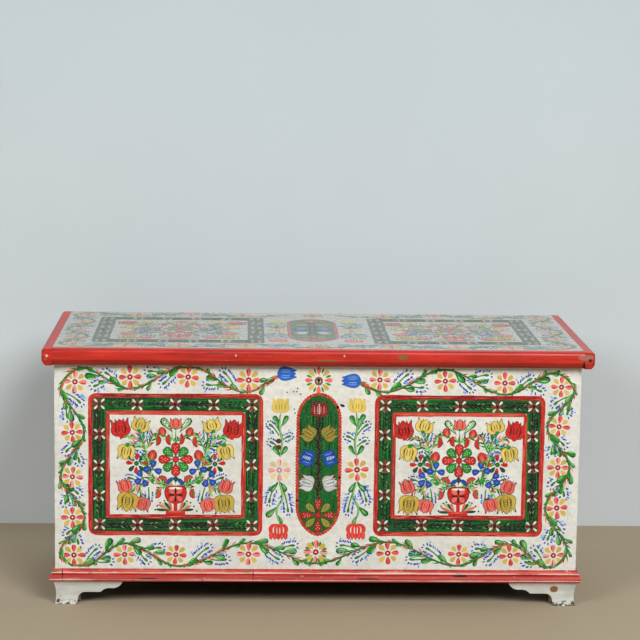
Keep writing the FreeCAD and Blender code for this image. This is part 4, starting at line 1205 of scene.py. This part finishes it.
def star_flower(face, at, radius, cross, diagonal, dots, plump=0.54):
    """A large rosette whose petals are outlined in dark and dotted."""
    for k in range(8):
        heading = leaning(45 * k + 90)
        colour, ink, length = (cross, DARK_RED, 0.78) if k % 2 == 0 else (diagonal, DARK_GREEN, 0.72)
        petal(face, at, heading, radius, 0.2, length * 1.06, plump, ink)
        petal(face, at, heading, radius, 0.25, length * 0.95, plump - 0.1, colour, coat=2)
        for share, aside in STAR_SPECKS:
            speck = at + heading * radius * complex(0.2 + length * share, aside)
            dot(face, speck, SPECK, dots[k % 2], coat=3, count=5)
    dot(face, at, radius * 0.2, DARK_RED, coat=3)
    dot(face, at, radius * 0.15, RED, coat=4)


def pinwheel(face, at, radius):
    """A small flower with a green eye, red petals in a cross and dark green ones between."""
    for k in range(8):
        heading = leaning(45 * k + 90 + face.random.uniform(-6, 6))
        petal(face, at, heading, radius, 0.3, 0.8, 0.44, DARK_GREEN if k % 2 else RED, coat=2)
    dot(face, at, radius * 0.25, DARK_GREEN, coat=3)
    dot(face, at, radius * 0.11, GREEN, coat=4)


tried(star_flower, 0j, 40, RED, GREEN, (PINK, MINT))
tried(pinwheel, 0j, 24)

# %% Where the flowers of the bouquet stand, in millimetres from its middle
STEMS = (
    ((2, -50), (32, -44), (60, -28), (68, 6), (74, 34), (80, 62), (94, 92)),
    ((76, 44), (96, 54), (120, 54)),
    ((80, 60), (104, 72), (132, 76)),
    ((60, -28), (82, -48), (100, -56), (118, -66)),
    ((88, -50), (86, -70), (78, -86)),
    ((70, 44), (62, 62), (54, 84)),
    ((0, 60), (12, 72), (29, 75)),
    ((30, 78), (46, 82), (50, 70)),
    ((18, -50), (30, -52), (42, -58)),
    ((34, -46), (30, -36), (34, -30)),
)
STEM, STEM_LIGHT = 4.8, 1.8
BELL_YELLOW, HOOK_RED = linear(204, 178, 74), linear(206, 70, 52)
# Place, heading in degrees and size, then the paints of cloth, ink, shine, ticks and ball, and girth.
BOUQUET_TULIPS = (
    ((92, 90), 106, 32, YELLOW, UMBER, UMBER, None, GREEN, 1.2),
    ((135, 74), 82, 43, RED, TULIP_INK, TULIP_INK, None, RED, 0.95),
    ((121, 53), -80, 38, YELLOW, UMBER, UMBER, None, GREEN, 0.96),
    ((120, -66), 70, 35, CORAL, TULIP_INK, RED, None, None, 0.85),
    ((117, -71), -84, 46, BELL_YELLOW, BROWN, UMBER, UMBER, None, 0.96),
    ((77, -83), -76, 33, CORAL, TULIP_INK, RED),
)
# Place, heading, length, bend and paints.
BOUQUET_HOOKS = (
    ((17, -49), 75, 26, 2.2, BLUE, DARK_BLUE),
    ((49, 73), -150, 30, 2.3),
    ((13, 77), -30, 30, -2.3),
    ((26, -44), 120, 30, -3.0, HOOK_RED),
    ((48, -58), -170, 30, 3.0, HOOK_RED),
)
# Root, tip and bend.
BOUQUET_SPRAYS = (((76, 48), (78, 86), 0.5), ((78, 46), (112, 44), -0.9), ((70, -54), (66, -86), 0.2),
                  ((88, -44), (116, -30), -0.6), ((72, 14), (92, 28), 0.6))
# Heading and paint of the leaves at the foot of the cup.
FOOT_FAN = ((-4, DARK_GREEN), (14, CORAL), (30, PALE_GREEN), (46, DARK_GREEN), (62, CORAL))
FAN_AT, FAN_WIDTH = (9, -112), 7
TUFT, TUFT_AT = (54, 70, 86, 102, 118), (56, -44)
TUFT_HAIR, TUFT_WIDTH = 20, 3.6
PINWHEEL_AT, PINWHEEL_RADIUS = (97, 7), 24
# Place, heading and size of each bud, and place, heading and spread of each blue flower.
BOUQUET_BUDS = (((60, 13), 104, 28), ((29, 75), 74, 24))
BOUQUET_WEDGES, WEDGE_SIZE = (((57, -9), 97, 200), ((81, -30), -35, 170)), 23
# Place, heading, length and bend.
BOUQUET_LEAVES = (((70, 8), 52, 24, 0.2), ((72, 2), 20, 20, 0.3))
BOUQUET_SHAKE = 1.4
print(f"half a bouquet has {len(STEMS)} stems and {len(BOUQUET_TULIPS)} tulips")

# %% The cup and the stems
BOWL_WIDTH, BOWL_DEPTH, BOWL_EDGE = 54, 44, 4
CUP_STEM, CUP_FOOT, CUP_FOOT_HALF = 9, 10, 24
# Length and width of the marks on the bowl.
CUP_RIM, CUP_PETAL, CUP_CROSS, CUP_SHINE = (34, 6), (17, 11), (17, 5), (38, 2.4)
STEM_HAIR, STEM_HAIR_WIDTH = 14, 4.2


def cup(face, at):
    """A footed cup: a round bowl with a white rim and a black cross, a short stem and a foot."""
    depth = np.linspace(0, 1, 13)
    bowl = np.sqrt(1 - depth**3) * (1 - 0.3 * (1 - depth) ** 6)
    levels = at + 1j * (BOWL_DEPTH / 2 - BOWL_DEPTH * depth)
    face.stroke(levels + 1j * (1.5 - 3 * depth), BOWL_WIDTH * bowl + BOWL_EDGE, DARK_RED, 2)
    face.stroke(levels, BOWL_WIDTH * bowl, RED, 3)
    mark(face, at - 17 + 17j, 1, *CUP_RIM, WHITE, coat=5)
    for k in range(4):
        slant = 1j**k * leaning(45)
        mark(face, at + slant * 5, slant, *CUP_PETAL, CORAL, DASH, coat=4)
        mark(face, at + 1j**k * 1.5, 1j**k, *CUP_CROSS, BLACK, DASH, coat=6, count=5)
    line(face, at + np.linspace(-18j, -44j, 4), CUP_STEM, RED, coat=4, press=FLAT)
    foot = at - 45j + np.linspace(-CUP_FOOT_HALF, CUP_FOOT_HALF, 6)
    line(face, foot, CUP_FOOT, RED, coat=4, press=FLAT)
    mark(face, at - 20 - 43j, 1, *CUP_SHINE, CORAL, DASH, coat=5)


def stem(face, places):
    """A green stalk with hairs to both sides."""
    path = spaced(flowing(places), 4.0)
    line(face, path, STEM, GREEN, coat=1)
    line(face, path + 1.3, STEM_LIGHT, PALE_GREEN, coat=2)
    for k in range(1, len(path) - 1):
        colour = (GREEN, DARK_GREEN, BROWN_RED, CORAL, PALE_GREEN)[face.random.integers(5)]
        lean = heading_at(path, k) * leaning((-1) ** k * face.random.uniform(26, 56))
        length = STEM_HAIR * face.vary(0.4)
        mark(face, path[k], lean, length, STEM_HAIR_WIDTH, colour, CUP, coat=1, count=5)


tried(cup, 0j)

# %% The bouquet that grows from the cup
def half_bouquet(face, middle, hand):
    """One side of the bouquet. hand is 1 for the right side and -1 for its mirror."""
    at = mirrored(face, middle, hand, BOUQUET_SHAKE)

    def toward(angle):
        return complex(math.cos(math.radians(angle)) * hand, math.sin(math.radians(angle)))

    for places in STEMS:
        stem(face, [middle + complex(x * hand, y) for x, y in places])
    for place, angle, size, *look in BOUQUET_TULIPS:
        tulip(face, at(*place), toward(angle), size, *look)
    pinwheel(face, at(*PINWHEEL_AT), PINWHEEL_RADIUS)
    for place, angle, size in BOUQUET_BUDS:
        bud(face, at(*place), toward(angle), size)
    for place, angle, fan in BOUQUET_WEDGES:
        wedge_flower(face, at(*place), toward(angle), WEDGE_SIZE, fan)
    for place, angle, length, bend, *paints in BOUQUET_HOOKS:
        hook(face, at(*place), toward(angle), length, bend * hand, *paints)
    for root, tip, bend in BOUQUET_SPRAYS:
        spray(face, at(*root), at(*tip), bend * hand, dash=DOTS, reach=7.0)
    for angle, colour in FOOT_FAN:
        length = 38 - 0.24 * angle
        mark(face, at(*FAN_AT), toward(angle), length, FAN_WIDTH, colour, PETAL, 0.2 * hand, coat=2)
        dot(face, at(*FAN_AT) + toward(angle + 6) * (length + 3), 2.2, BLACK, coat=3)
    leaf(face, at(8, 82), toward(58), 46, -0.25 * hand, PALE_GREEN, WHITE)
    for k in range(6):
        dot(face, at(13 + 3.2 * k, 97 + 3.6 * k), 1.7, DARK_GREEN, coat=4, count=5)
    for place, angle, length, bend in BOUQUET_LEAVES:
        leaf(face, at(*place), toward(angle), length, bend * hand)
    for angle in TUFT:
        tint = GREEN if angle % 4 else DARK_GREEN
        root, length = at(*TUFT_AT), TUFT_HAIR * face.vary(0.3)
        mark(face, root, toward(angle), length, TUFT_WIDTH, tint, HAIR, coat=2, count=5)


def bouquet(face, middle):
    for hand in (LEFT, RIGHT):
        half_bouquet(face, middle, hand)
    line(face, middle + np.linspace(-50j, 95j, 6), STEM, GREEN, coat=0)
    mark(face, middle - 42j, UP, 17, 11, DARK_GREEN, PETAL, coat=4)
    star_flower(face, middle + 17j, 42, RED, GREEN, (PINK, MINT))
    tulip(face, middle + 95j, UP, 25, CORAL, DARK_RED, RED, ball=GREEN)
    cup(face, middle - 73j)


def panel(face, label, box, drop=3, stretch=(1.0, 1.0), **frame_style):
    """A frame and the bouquet inside it, whose middle is a little below the frame's."""
    face.panels = ()
    face.start(f"{label}frame")
    framed(face, box, **frame_style)
    face.start(f"{label}bouquet")
    middle = complex((box[0] + box[2]) / 2, (box[1] + box[3]) / 2 - drop)
    face.enlarge(middle, *stretch)
    bouquet(face, middle)
    face.enlarge()


tried(bouquet, 0j)

# %% [markdown]
# The medallion and its columns
# In the middle stands a green shield with rounded ends and a scalloped red edge, a dark twisted
# stem and pairs of tulips. White columns beside it carry a yellow tulip at the top, a rosette in
# the middle and a red tulip that hangs down.

# %% Medallion
SHIELD_GREEN, CROWN_RED, CROWN_SHINE = linear(2, 98, 33), linear(152, 28, 26), linear(206, 150, 140)
STAR_RED, STAR_OLIVE = linear(176, 36, 26), linear(166, 160, 62)
SHIELD_STREAKS, EDGE_LINE = 130, 6.0
SHIELD_TULIP, CROWN_TULIP, STAR_RADIUS = 34, 40, 43
CROWN_LEVEL, STAR_LEVEL = 122, -130
DRAWN_HALF_HEIGHT = 180
# Height and lean of each pair of tulips, then the paints of cloth, ink, shine and ticks.
SHIELD_TULIPS = (
    (70, 54, linear(156, 148, 60), linear(44, 42, 18), linear(200, 146, 62), BLACK),
    (12, 72, BLUE, DARK_BLUE, PALE_BLUE, WHITE),
    (-52, 74, linear(196, 208, 208), linear(164, 44, 40), WHITE, BLACK),
)


def shield_width(level):
    """Half width of the shield, as a share, at a level from -1 at its foot to 1 at its top."""
    top = np.clip((level - 0.64) / 0.36, 0, 1)
    foot = np.clip((-level - 0.6) / 0.4, 0, 1)
    return np.sqrt(1 - top**2) * (1 - foot**1.9) ** 0.6


def shield(face, middle, half_width, half_height):
    """The green field with the streaks of the brush, and its scalloped edge."""
    levels = -np.cos(np.linspace(0, math.pi, 41))
    spread = half_width * shield_width(levels)
    upright = middle + 1j * half_height * levels
    face.stroke(upright, 2 * spread, SHIELD_GREEN, 0)
    for k in range(SHIELD_STREAKS):
        share = face.random.uniform(-0.9, 0.9)
        low = face.random.uniform(-0.85, 0.7)
        run = np.linspace(low, low + face.random.uniform(0.1, 0.4), 5).clip(-0.95, 0.95)
        path = middle + share * half_width * shield_width(run) + 1j * half_height * run
        dark_share = 0.8 if low > 0.2 else 0.35
        colour = BAND_DARK if face.random.random() < dark_share else BAND_PALE
        line(face, path, face.random.uniform(1.4, 3.4), colour, 1, HAIR)
    edge = spaced(np.concatenate((upright + spread, (upright - spread)[::-1])), 4.0)
    face.stroke(edge, np.full(len(edge), EDGE_LINE), FRAME_RED, 3)
    for at in spaced(edge, 7.4)[:-1]:
        away = (at - middle) / abs(at - middle)
        dot(face, at + away.real * 2.4 + 1j * away.imag, 3.4, FRAME_RED, coat=3)
        if face.random.random() < 0.8:
            dot(face, at + face.shake(1.2), 2.6, FRAME_CORAL, coat=4, count=5)


def medallion(face, middle, half_width, half_height):
    shield(face, middle, half_width, half_height)
    rise = 1j * half_height / DRAWN_HALF_HEIGHT
    twist = np.linspace(-92, 132, 40) * abs(rise)
    for phase, colour in ((0, BROWN), (math.pi, BLACK)):
        line(face, middle + 1j * twist + 2.6 * np.sin(twist * 0.16 + phase), 4.6, colour, coat=2)
    for height in np.arange(-88, 122, 8):
        for hand in (LEFT, RIGHT):
            root, heading = middle + height * rise, leaning(90 - 54 * hand)
            mark(face, root, heading, 16 * face.vary(0.3), 2.2, BLACK, HAIR, coat=2, count=4)
    for hand in (LEFT, RIGHT):
        for height, lean, *paints in SHIELD_TULIPS:
            foot = middle + hand * half_width * 0.24 + height * rise
            line(face, np.linspace(middle + (height - 16) * rise, foot, 5), 3.4, BLACK, coat=2)
            tulip(face, foot, leaning(90 - lean * hand), SHIELD_TULIP, *paints, girth=1.02)
    crown = middle + CROWN_LEVEL * rise
    tulip(face, crown, UP, CROWN_TULIP, CROWN_RED, BLACK, CROWN_SHINE, girth=0.92)
    for k in range(6):
        dot(face, middle + (131 + 4.5 * k) * rise, 1.5, WHITE, coat=9, count=5)
    star = middle + STAR_LEVEL * rise
    star_flower(face, star, STAR_RADIUS, STAR_RED, STAR_OLIVE, (PINK, BLACK), plump=0.46)


tried(medallion, 0j, 52, 178)

# %% Columns beside the medallion
HANGING_RED = linear(222, 62, 52)
CROWN_DROP, COLUMN_CROWN, COLUMN_ROSETTE, HANGING_TULIP = 46, 32, 28, 36
COLUMN_SHAKE, COLUMN_REACH = 1.2, 7
# Place, lean in degrees and length of each leaf. Root, tip and bend of each spray.
UPPER_LEAVES = ((2, 100, 40, 30), (0, 96, -40, 34), (2, 84, 16, 34), (0, 22, 44, 32), (0, 22, -46, 30))
UPPER_SPRAYS = (((2, 74), (26, 102), -0.5), ((0, 58), (-24, 74), 0.5), ((2, 44), (22, 60), -0.4))
LOWER_SPRAYS = (((-2, -52), (-20, -118), 0.3), ((4, -44), (26, -92), -0.5))
LOWER_LEAVES = ((0, -42, 140, 32), (0, -42, 216, 32), (6, -104, 140, 36), (2, -126, 205, 24))


def column(face, middle, hand, half_height, fade=0.0, berries=(62, 46)):
    """One white column: from the top a yellow tulip, leaves, a rosette, sprays, a red tulip."""
    at = mirrored(face, middle, hand, COLUMN_SHAKE)

    def stalk(*places):
        path = flowing(places)
        line(face, path, STALK, GREEN, coat=1)
        line(face, path + 0.6, STALK_LIGHT, PALE_GREEN, coat=2)

    crown = half_height - CROWN_DROP
    tulip(face, at(0, crown), UP, COLUMN_CROWN, YELLOW, OCHRE, OLIVE, girth=1.15, crown=4)
    stalk(at(0, crown), at(3, 100), at(-4, 60), at(0, 20))
    for x, y, lean, size in UPPER_LEAVES:
        leaf(face, at(x, y), leaning(90 - lean * hand), size, 0.01 * lean * hand)
    for root, tip, bend in UPPER_SPRAYS:
        spray(face, at(*root), at(*tip), bend * hand, dash=DOTS, reach=COLUMN_REACH)
    for height in berries:
        dot(face, at(2, height), 6.4, BROWN, coat=4)
        dot(face, at(2, height + 1), 2.6, BROWN_RED, coat=5)
    paints = (blended(c, WHITE, fade) for c in (CORAL, OCHRE, EYE_RED, RED))
    rosette(face, at(0, -12), COLUMN_ROSETTE, *paints)
    stalk(at(0, -42), at(-6, -80), at(8, -112), at(0, -146))
    for root, tip, bend in LOWER_SPRAYS:
        spray(face, at(*root), at(*tip), bend * hand, reach=COLUMN_REACH)
    for x, y, lean, size in LOWER_LEAVES:
        leaf(face, at(x, y), leaning(90 - lean * hand), size, 0.2 * hand)
    tulip(face, at(0, -148), DOWNWARD, HANGING_TULIP, HANGING_RED, CORAL, WHITE, girth=1.15, crown=5)


tried(column, 0j, RIGHT, 180)

# %% [markdown]
# Painting the front
# The places come from the photograph, turned into millimetres on the board. Reading round from the
# blue tulip at the top, down the left side and along the foot, the vine meets a rosette about
# every 100 to 180 mm, and passes them on one side and the other by turns.

# %% Border of the front
front = Face("front", "case", (0, FRONT_Y, 0), (1, 0, 0), (0, 0, 1), (-648, 94, 648, 607), seed=11)
FRONT_PANELS = {"left": (-568, 177, -136, 536), "right": (140, 178, 563, 536)}
# Places from the middle outward. Each side runs from the upper corner to the lower one.
FRONT_HALVES = {
    LEFT: dict(start=(98, 584), row_top=((173, 571), (322, 578), (465, 577)),
               side=((600, 564), (607, 437), (607, 325), (607, 222), (604, 126)),
               row_foot=((478, 128), (351, 128), (170, 130))),
    RIGHT: dict(start=(98, 568), row_top=((151, 574), (313, 572), (461, 568)),
                side=((602, 559), (599, 459), (599, 355), (599, 252), (594, 130)),
                row_foot=((485, 129), (356, 132), (178, 134))),
}
FOOT_FLOWER, FOOT_RADIUS = -2 + 136j, 29
TOP_TULIPS, TOP_TULIP = ((-102 + 588j, RIGHT), (104 + 571j, LEFT)), 46
SKY = linear(36, 108, 206)

front.panels = tuple(FRONT_PANELS.values())
front.start("border")
for hand, places in FRONT_HALVES.items():
    wind(front, hand, **places, closing=FOOT_FLOWER)
rosette(front, FOOT_FLOWER, FOOT_RADIUS, fringe=GREEN)
for foot, heading in TOP_TULIPS:
    tulip(front, foot, heading, TOP_TULIP, SKY, BLUE, PALE_BLUE, girth=0.62, flare=0.3)
print(f"border of the front: {len(front.strokes)} strokes")

# %% Panels, columns and medallion of the front
MEDALLION_AT, MEDALLION_HALF = 2 + 359j, (52, 178)
LEFT_COLUMN, RIGHT_COLUMN, COLUMN_HALF = -94 + 357j, 96 + 359j, 180

for label, box in FRONT_PANELS.items():
    panel(front, f"{label}_", box)
front.start("medallion")
medallion(front, MEDALLION_AT, *MEDALLION_HALF)
front.start("columns")
column(front, LEFT_COLUMN, LEFT, COLUMN_HALF, fade=0.35)
column(front, RIGHT_COLUMN, RIGHT, COLUMN_HALF, berries=())
print({group: len(strokes) for group, strokes in front.groups.items()})

# %% Keyhole flower and small damage on the front
KEYHOLE, KEYHOLE_BROWN = 572j, linear(132, 96, 70)
# How far out a petal starts, its length and its width.
KEYHOLE_PETAL, KEYHOLE_LEAF = (13, 21, 11), (17, 15, 5.5)
RING_RADIUS, RING_WIDTH, RING_DROP = 7.5, 5.5, 1.5
WORMHOLE = 1.9
WORMHOLES = ((-78, 541), (-62, 543), (-54, 543), (-52, 551), (-45, 537), (-60, 499), (-58, 489))
DENT, DENT_BROWN = 53 + 511j, linear(44, 26, 18)

front.start("keyhole_flower")
for k in range(8):
    colour = OCHRE if k % 2 else CORAL
    for heading, (out, *size), tone in (
        (leaning(45 * k), KEYHOLE_PETAL, colour),
        (leaning(45 * k + 22.5), KEYHOLE_LEAF, GREEN),
    ):
        mark(front, KEYHOLE + heading * out, heading, *size, tone, PETAL, coat=1)
drop = 1j * RING_DROP
ring = KEYHOLE - drop + RING_RADIUS * np.exp(1j * np.linspace(0, 2 * math.pi, 25))
surround = np.where(ring.imag < KEYHOLE.imag, ring - drop, ring)
line(front, surround, RING_WIDTH, KEYHOLE_BROWN, coat=2, press=FLAT)
front.start("wormholes")
for x, z in WORMHOLES:
    dot(front, complex(x, z), WORMHOLE, BLACK, coat=1)
mark(front, DENT, leaning(-20), 13, 7, DENT_BROWN, DASH, coat=1)
front.build(STROKES, "painted_pine")

# %% [markdown]
# Painting the lid
# The top repeats the front: two panels, a medallion and the vine. It is deeper than the front is
# tall, so the same functions are called with a larger field. A smoother material lets the varnish
# mirror the wall at a low angle, which greys the lid in the photograph. The lid's white ground and
# its strokes are also painted greyer and darker, as painted shade and painted reflection.

# %% Lay out the lid
lid = Face("lid", "lid", (0, 0, LID_TOP), (1, 0, 0), (0, 1, 0), (-652, -288, 652, 300), seed=23)
LID_PANELS = {"left": (-572, -212, -128, 212), "right": (136, -212, 568, 212)}
LID_HALF = dict(start=(60, 262), row_top=((190, 256), (330, 258), (470, 256)),
                side=((606, 252), (610, 130), (610, 0), (610, -125), (606, -242)),
                row_foot=((478, -250), (345, -250), (180, -250)))
LID_FOOT_FLOWER, LID_TOP_FLOWER, LID_FLOWER_RADIUS = -250j, 256j, 27
LID_MEDALLION_AT, LID_MEDALLION_HALF = -8 + 4j, (60, 184)
LID_COLUMNS = {LEFT: -98 + 2j, RIGHT: 92 + 2j}
LID_STRETCH = (1.05, 1.22)

lid.panels = tuple(LID_PANELS.values())
lid.start("border")
for hand in (LEFT, RIGHT):
    wind(lid, hand, **LID_HALF, closing=LID_FOOT_FLOWER)
for flower in (LID_FOOT_FLOWER, LID_TOP_FLOWER):
    rosette(lid, flower, LID_FLOWER_RADIUS, fringe=GREEN)
for label, box in LID_PANELS.items():
    panel(lid, f"{label}_", box, drop=4, stretch=LID_STRETCH, crosses=6, lined=False)
lid.start("medallion")
medallion(lid, LID_MEDALLION_AT, *LID_MEDALLION_HALF)
lid.start("columns")
for hand, middle in LID_COLUMNS.items():
    column(lid, middle, hand, LID_MEDALLION_HALF[1])
lid.build(STROKES_LID, "painted_pine")

# %% [markdown]
# Painting the ends
# The photograph doesn't show the ends. Chests of this kind carry one framed bouquet there, inside
# the same vine, so each end gets one panel of the front's size.

# %% Lay out both ends
END_MIDDLE = (FRONT_Y + BACK_Y) / 2
END_FIELD, END_PANEL = (-293, 94, 293, 607), (-212, 178, 212, 536)
END_HALF = dict(start=(32, 588), row_top=((112, 572),),
                side=((246, 562), (252, 448), (252, 340), (252, 236), (248, 127)),
                row_foot=((112, 130),))
# Place and radius of the flowers in the middle of the top and the foot.
END_TOP_FLOWER, END_FOOT_FLOWER = (572j, 27), (134j, 28)

for name, x, along, seed in (("left_end", CASE_END, -1, 31), ("right_end", -CASE_END, 1, 37)):
    end = Face(name, "case", (x, END_MIDDLE, 0), (0, along, 0), (0, 0, 1), END_FIELD, seed)
    end.panels = (END_PANEL,)
    end.start("border")
    for hand in (LEFT, RIGHT):
        wind(end, hand, **END_HALF, closing=END_FOOT_FLOWER[0])
    rosette(end, *END_TOP_FLOWER, fringe=GREEN)
    rosette(end, *END_FOOT_FLOWER, fringe=GREEN)
    panel(end, "", END_PANEL)
    end.build(STROKES, "painted_pine")

# %% [markdown]
# The studio
# The chest stands on a plain pale floor before a pale wall. The wall is seen through from behind,
# so that it never hides the chest from a camera on that side, and it casts no shadow. Three broad
# area lights and a pale world give the even light of the photograph.

# %% Floor and wall
WALL_Y = 0.543
STAGE_HALF, WALL_HEIGHT = 9.0, 6.0
TONE_FROM, TONE_TO = 0.1, 1.9
# The wall is lighter low down and darker higher up: a painted gradient of light and shade.
FLOOR_TONE, WALL_LOW_PAINTED_LIGHT, WALL_HIGH_PAINTED_SHADE = (174, 159, 133), (222, 230, 234), (188, 201, 208)
STAGE_ROUGHNESS = 0.85


def stage_plane(name, near, far, low, high):
    """A flat piece of the studio between two edges, with one tone by the floor and another above."""
    ends = ((-STAGE_HALF, near), (STAGE_HALF, near), (STAGE_HALF, far), (-STAGE_HALF, far))
    mesh = bpy.data.meshes.new(name)
    mesh.from_pydata([(x, *edge) for x, edge in ends], [], [(0, 1, 2, 3)])
    f = Finish(name, low)
    f.over(f.axis("Z"), TONE_FROM, TONE_TO, 1.0, high)
    f.cover(f.between(f.noise(1.3), 0.3, 0.7, 0.06, 0.0), (90, 90, 90))
    mesh.materials.append(f.done(STAGE_ROUGHNESS))
    plane = placed(name, mesh)
    return f


stage_plane("pale_floor", (-STAGE_HALF, 0), (STAGE_HALF, 0), FLOOR_TONE, FLOOR_TONE)
# The wall's change of tone with height is painted light and shade.
wall = stage_plane("pale_wall", (WALL_Y, 0), (WALL_Y, WALL_HEIGHT), WALL_LOW_PAINTED_LIGHT, WALL_HIGH_PAINTED_SHADE)
behind = wall.node("ShaderNodeNewGeometry").outputs["Backfacing"]
shadow = wall.node("ShaderNodeLightPath").outputs["Is Shadow Ray"]
clear = wall.node("ShaderNodeBsdfTransparent").outputs[0]
passing = wall.maths("MAXIMUM", behind, shadow)
see_through = wall.node("ShaderNodeMixShader", {0: passing, 1: wall.shader.outputs[0], 2: clear})
wall.fill(wall.tree.nodes["Material Output"].inputs["Surface"], see_through.outputs[0])
print(f"floor and wall, the wall {WALL_Y - BACK_Y:.2f} m behind the chest")

# %% Lights and world
# Place, target, size and power.
LIGHTS = {
    "key_light": ((1.8, -4.4, 3.7), (0, 0, 0.3), 2.6, 225),
    "fill_light": ((-3.2, -4.2, 3.4), (0, 0, 0.3), 2.6, 135),
    "rear_light": ((0.5, 4.0, 3.2), (0, 0, 0.4), 2.5, 25),
}
SKY_TONE, SKY_STRENGTH = linear(214, 220, 224), 0.16

for name, (place, target, size, power) in LIGHTS.items():
    lamp = placed(name, bpy.data.lights.new(name, "AREA"))
    lamp.data.shape, lamp.data.size, lamp.data.energy = "DISK", size, power
    lamp.location = place
    lamp.rotation_euler = (Vector(target) - Vector(place)).to_track_quat("-Z", "Y").to_euler()
world = bpy.data.worlds.new("pale_studio")
SCENE.world = world
world.use_nodes = True
background = world.node_tree.nodes["Background"]
background.inputs["Color"].default_value = (*SKY_TONE, 1.0)
background.inputs["Strength"].default_value = SKY_STRENGTH
print(f"{len(LIGHTS)} lights and a pale world")
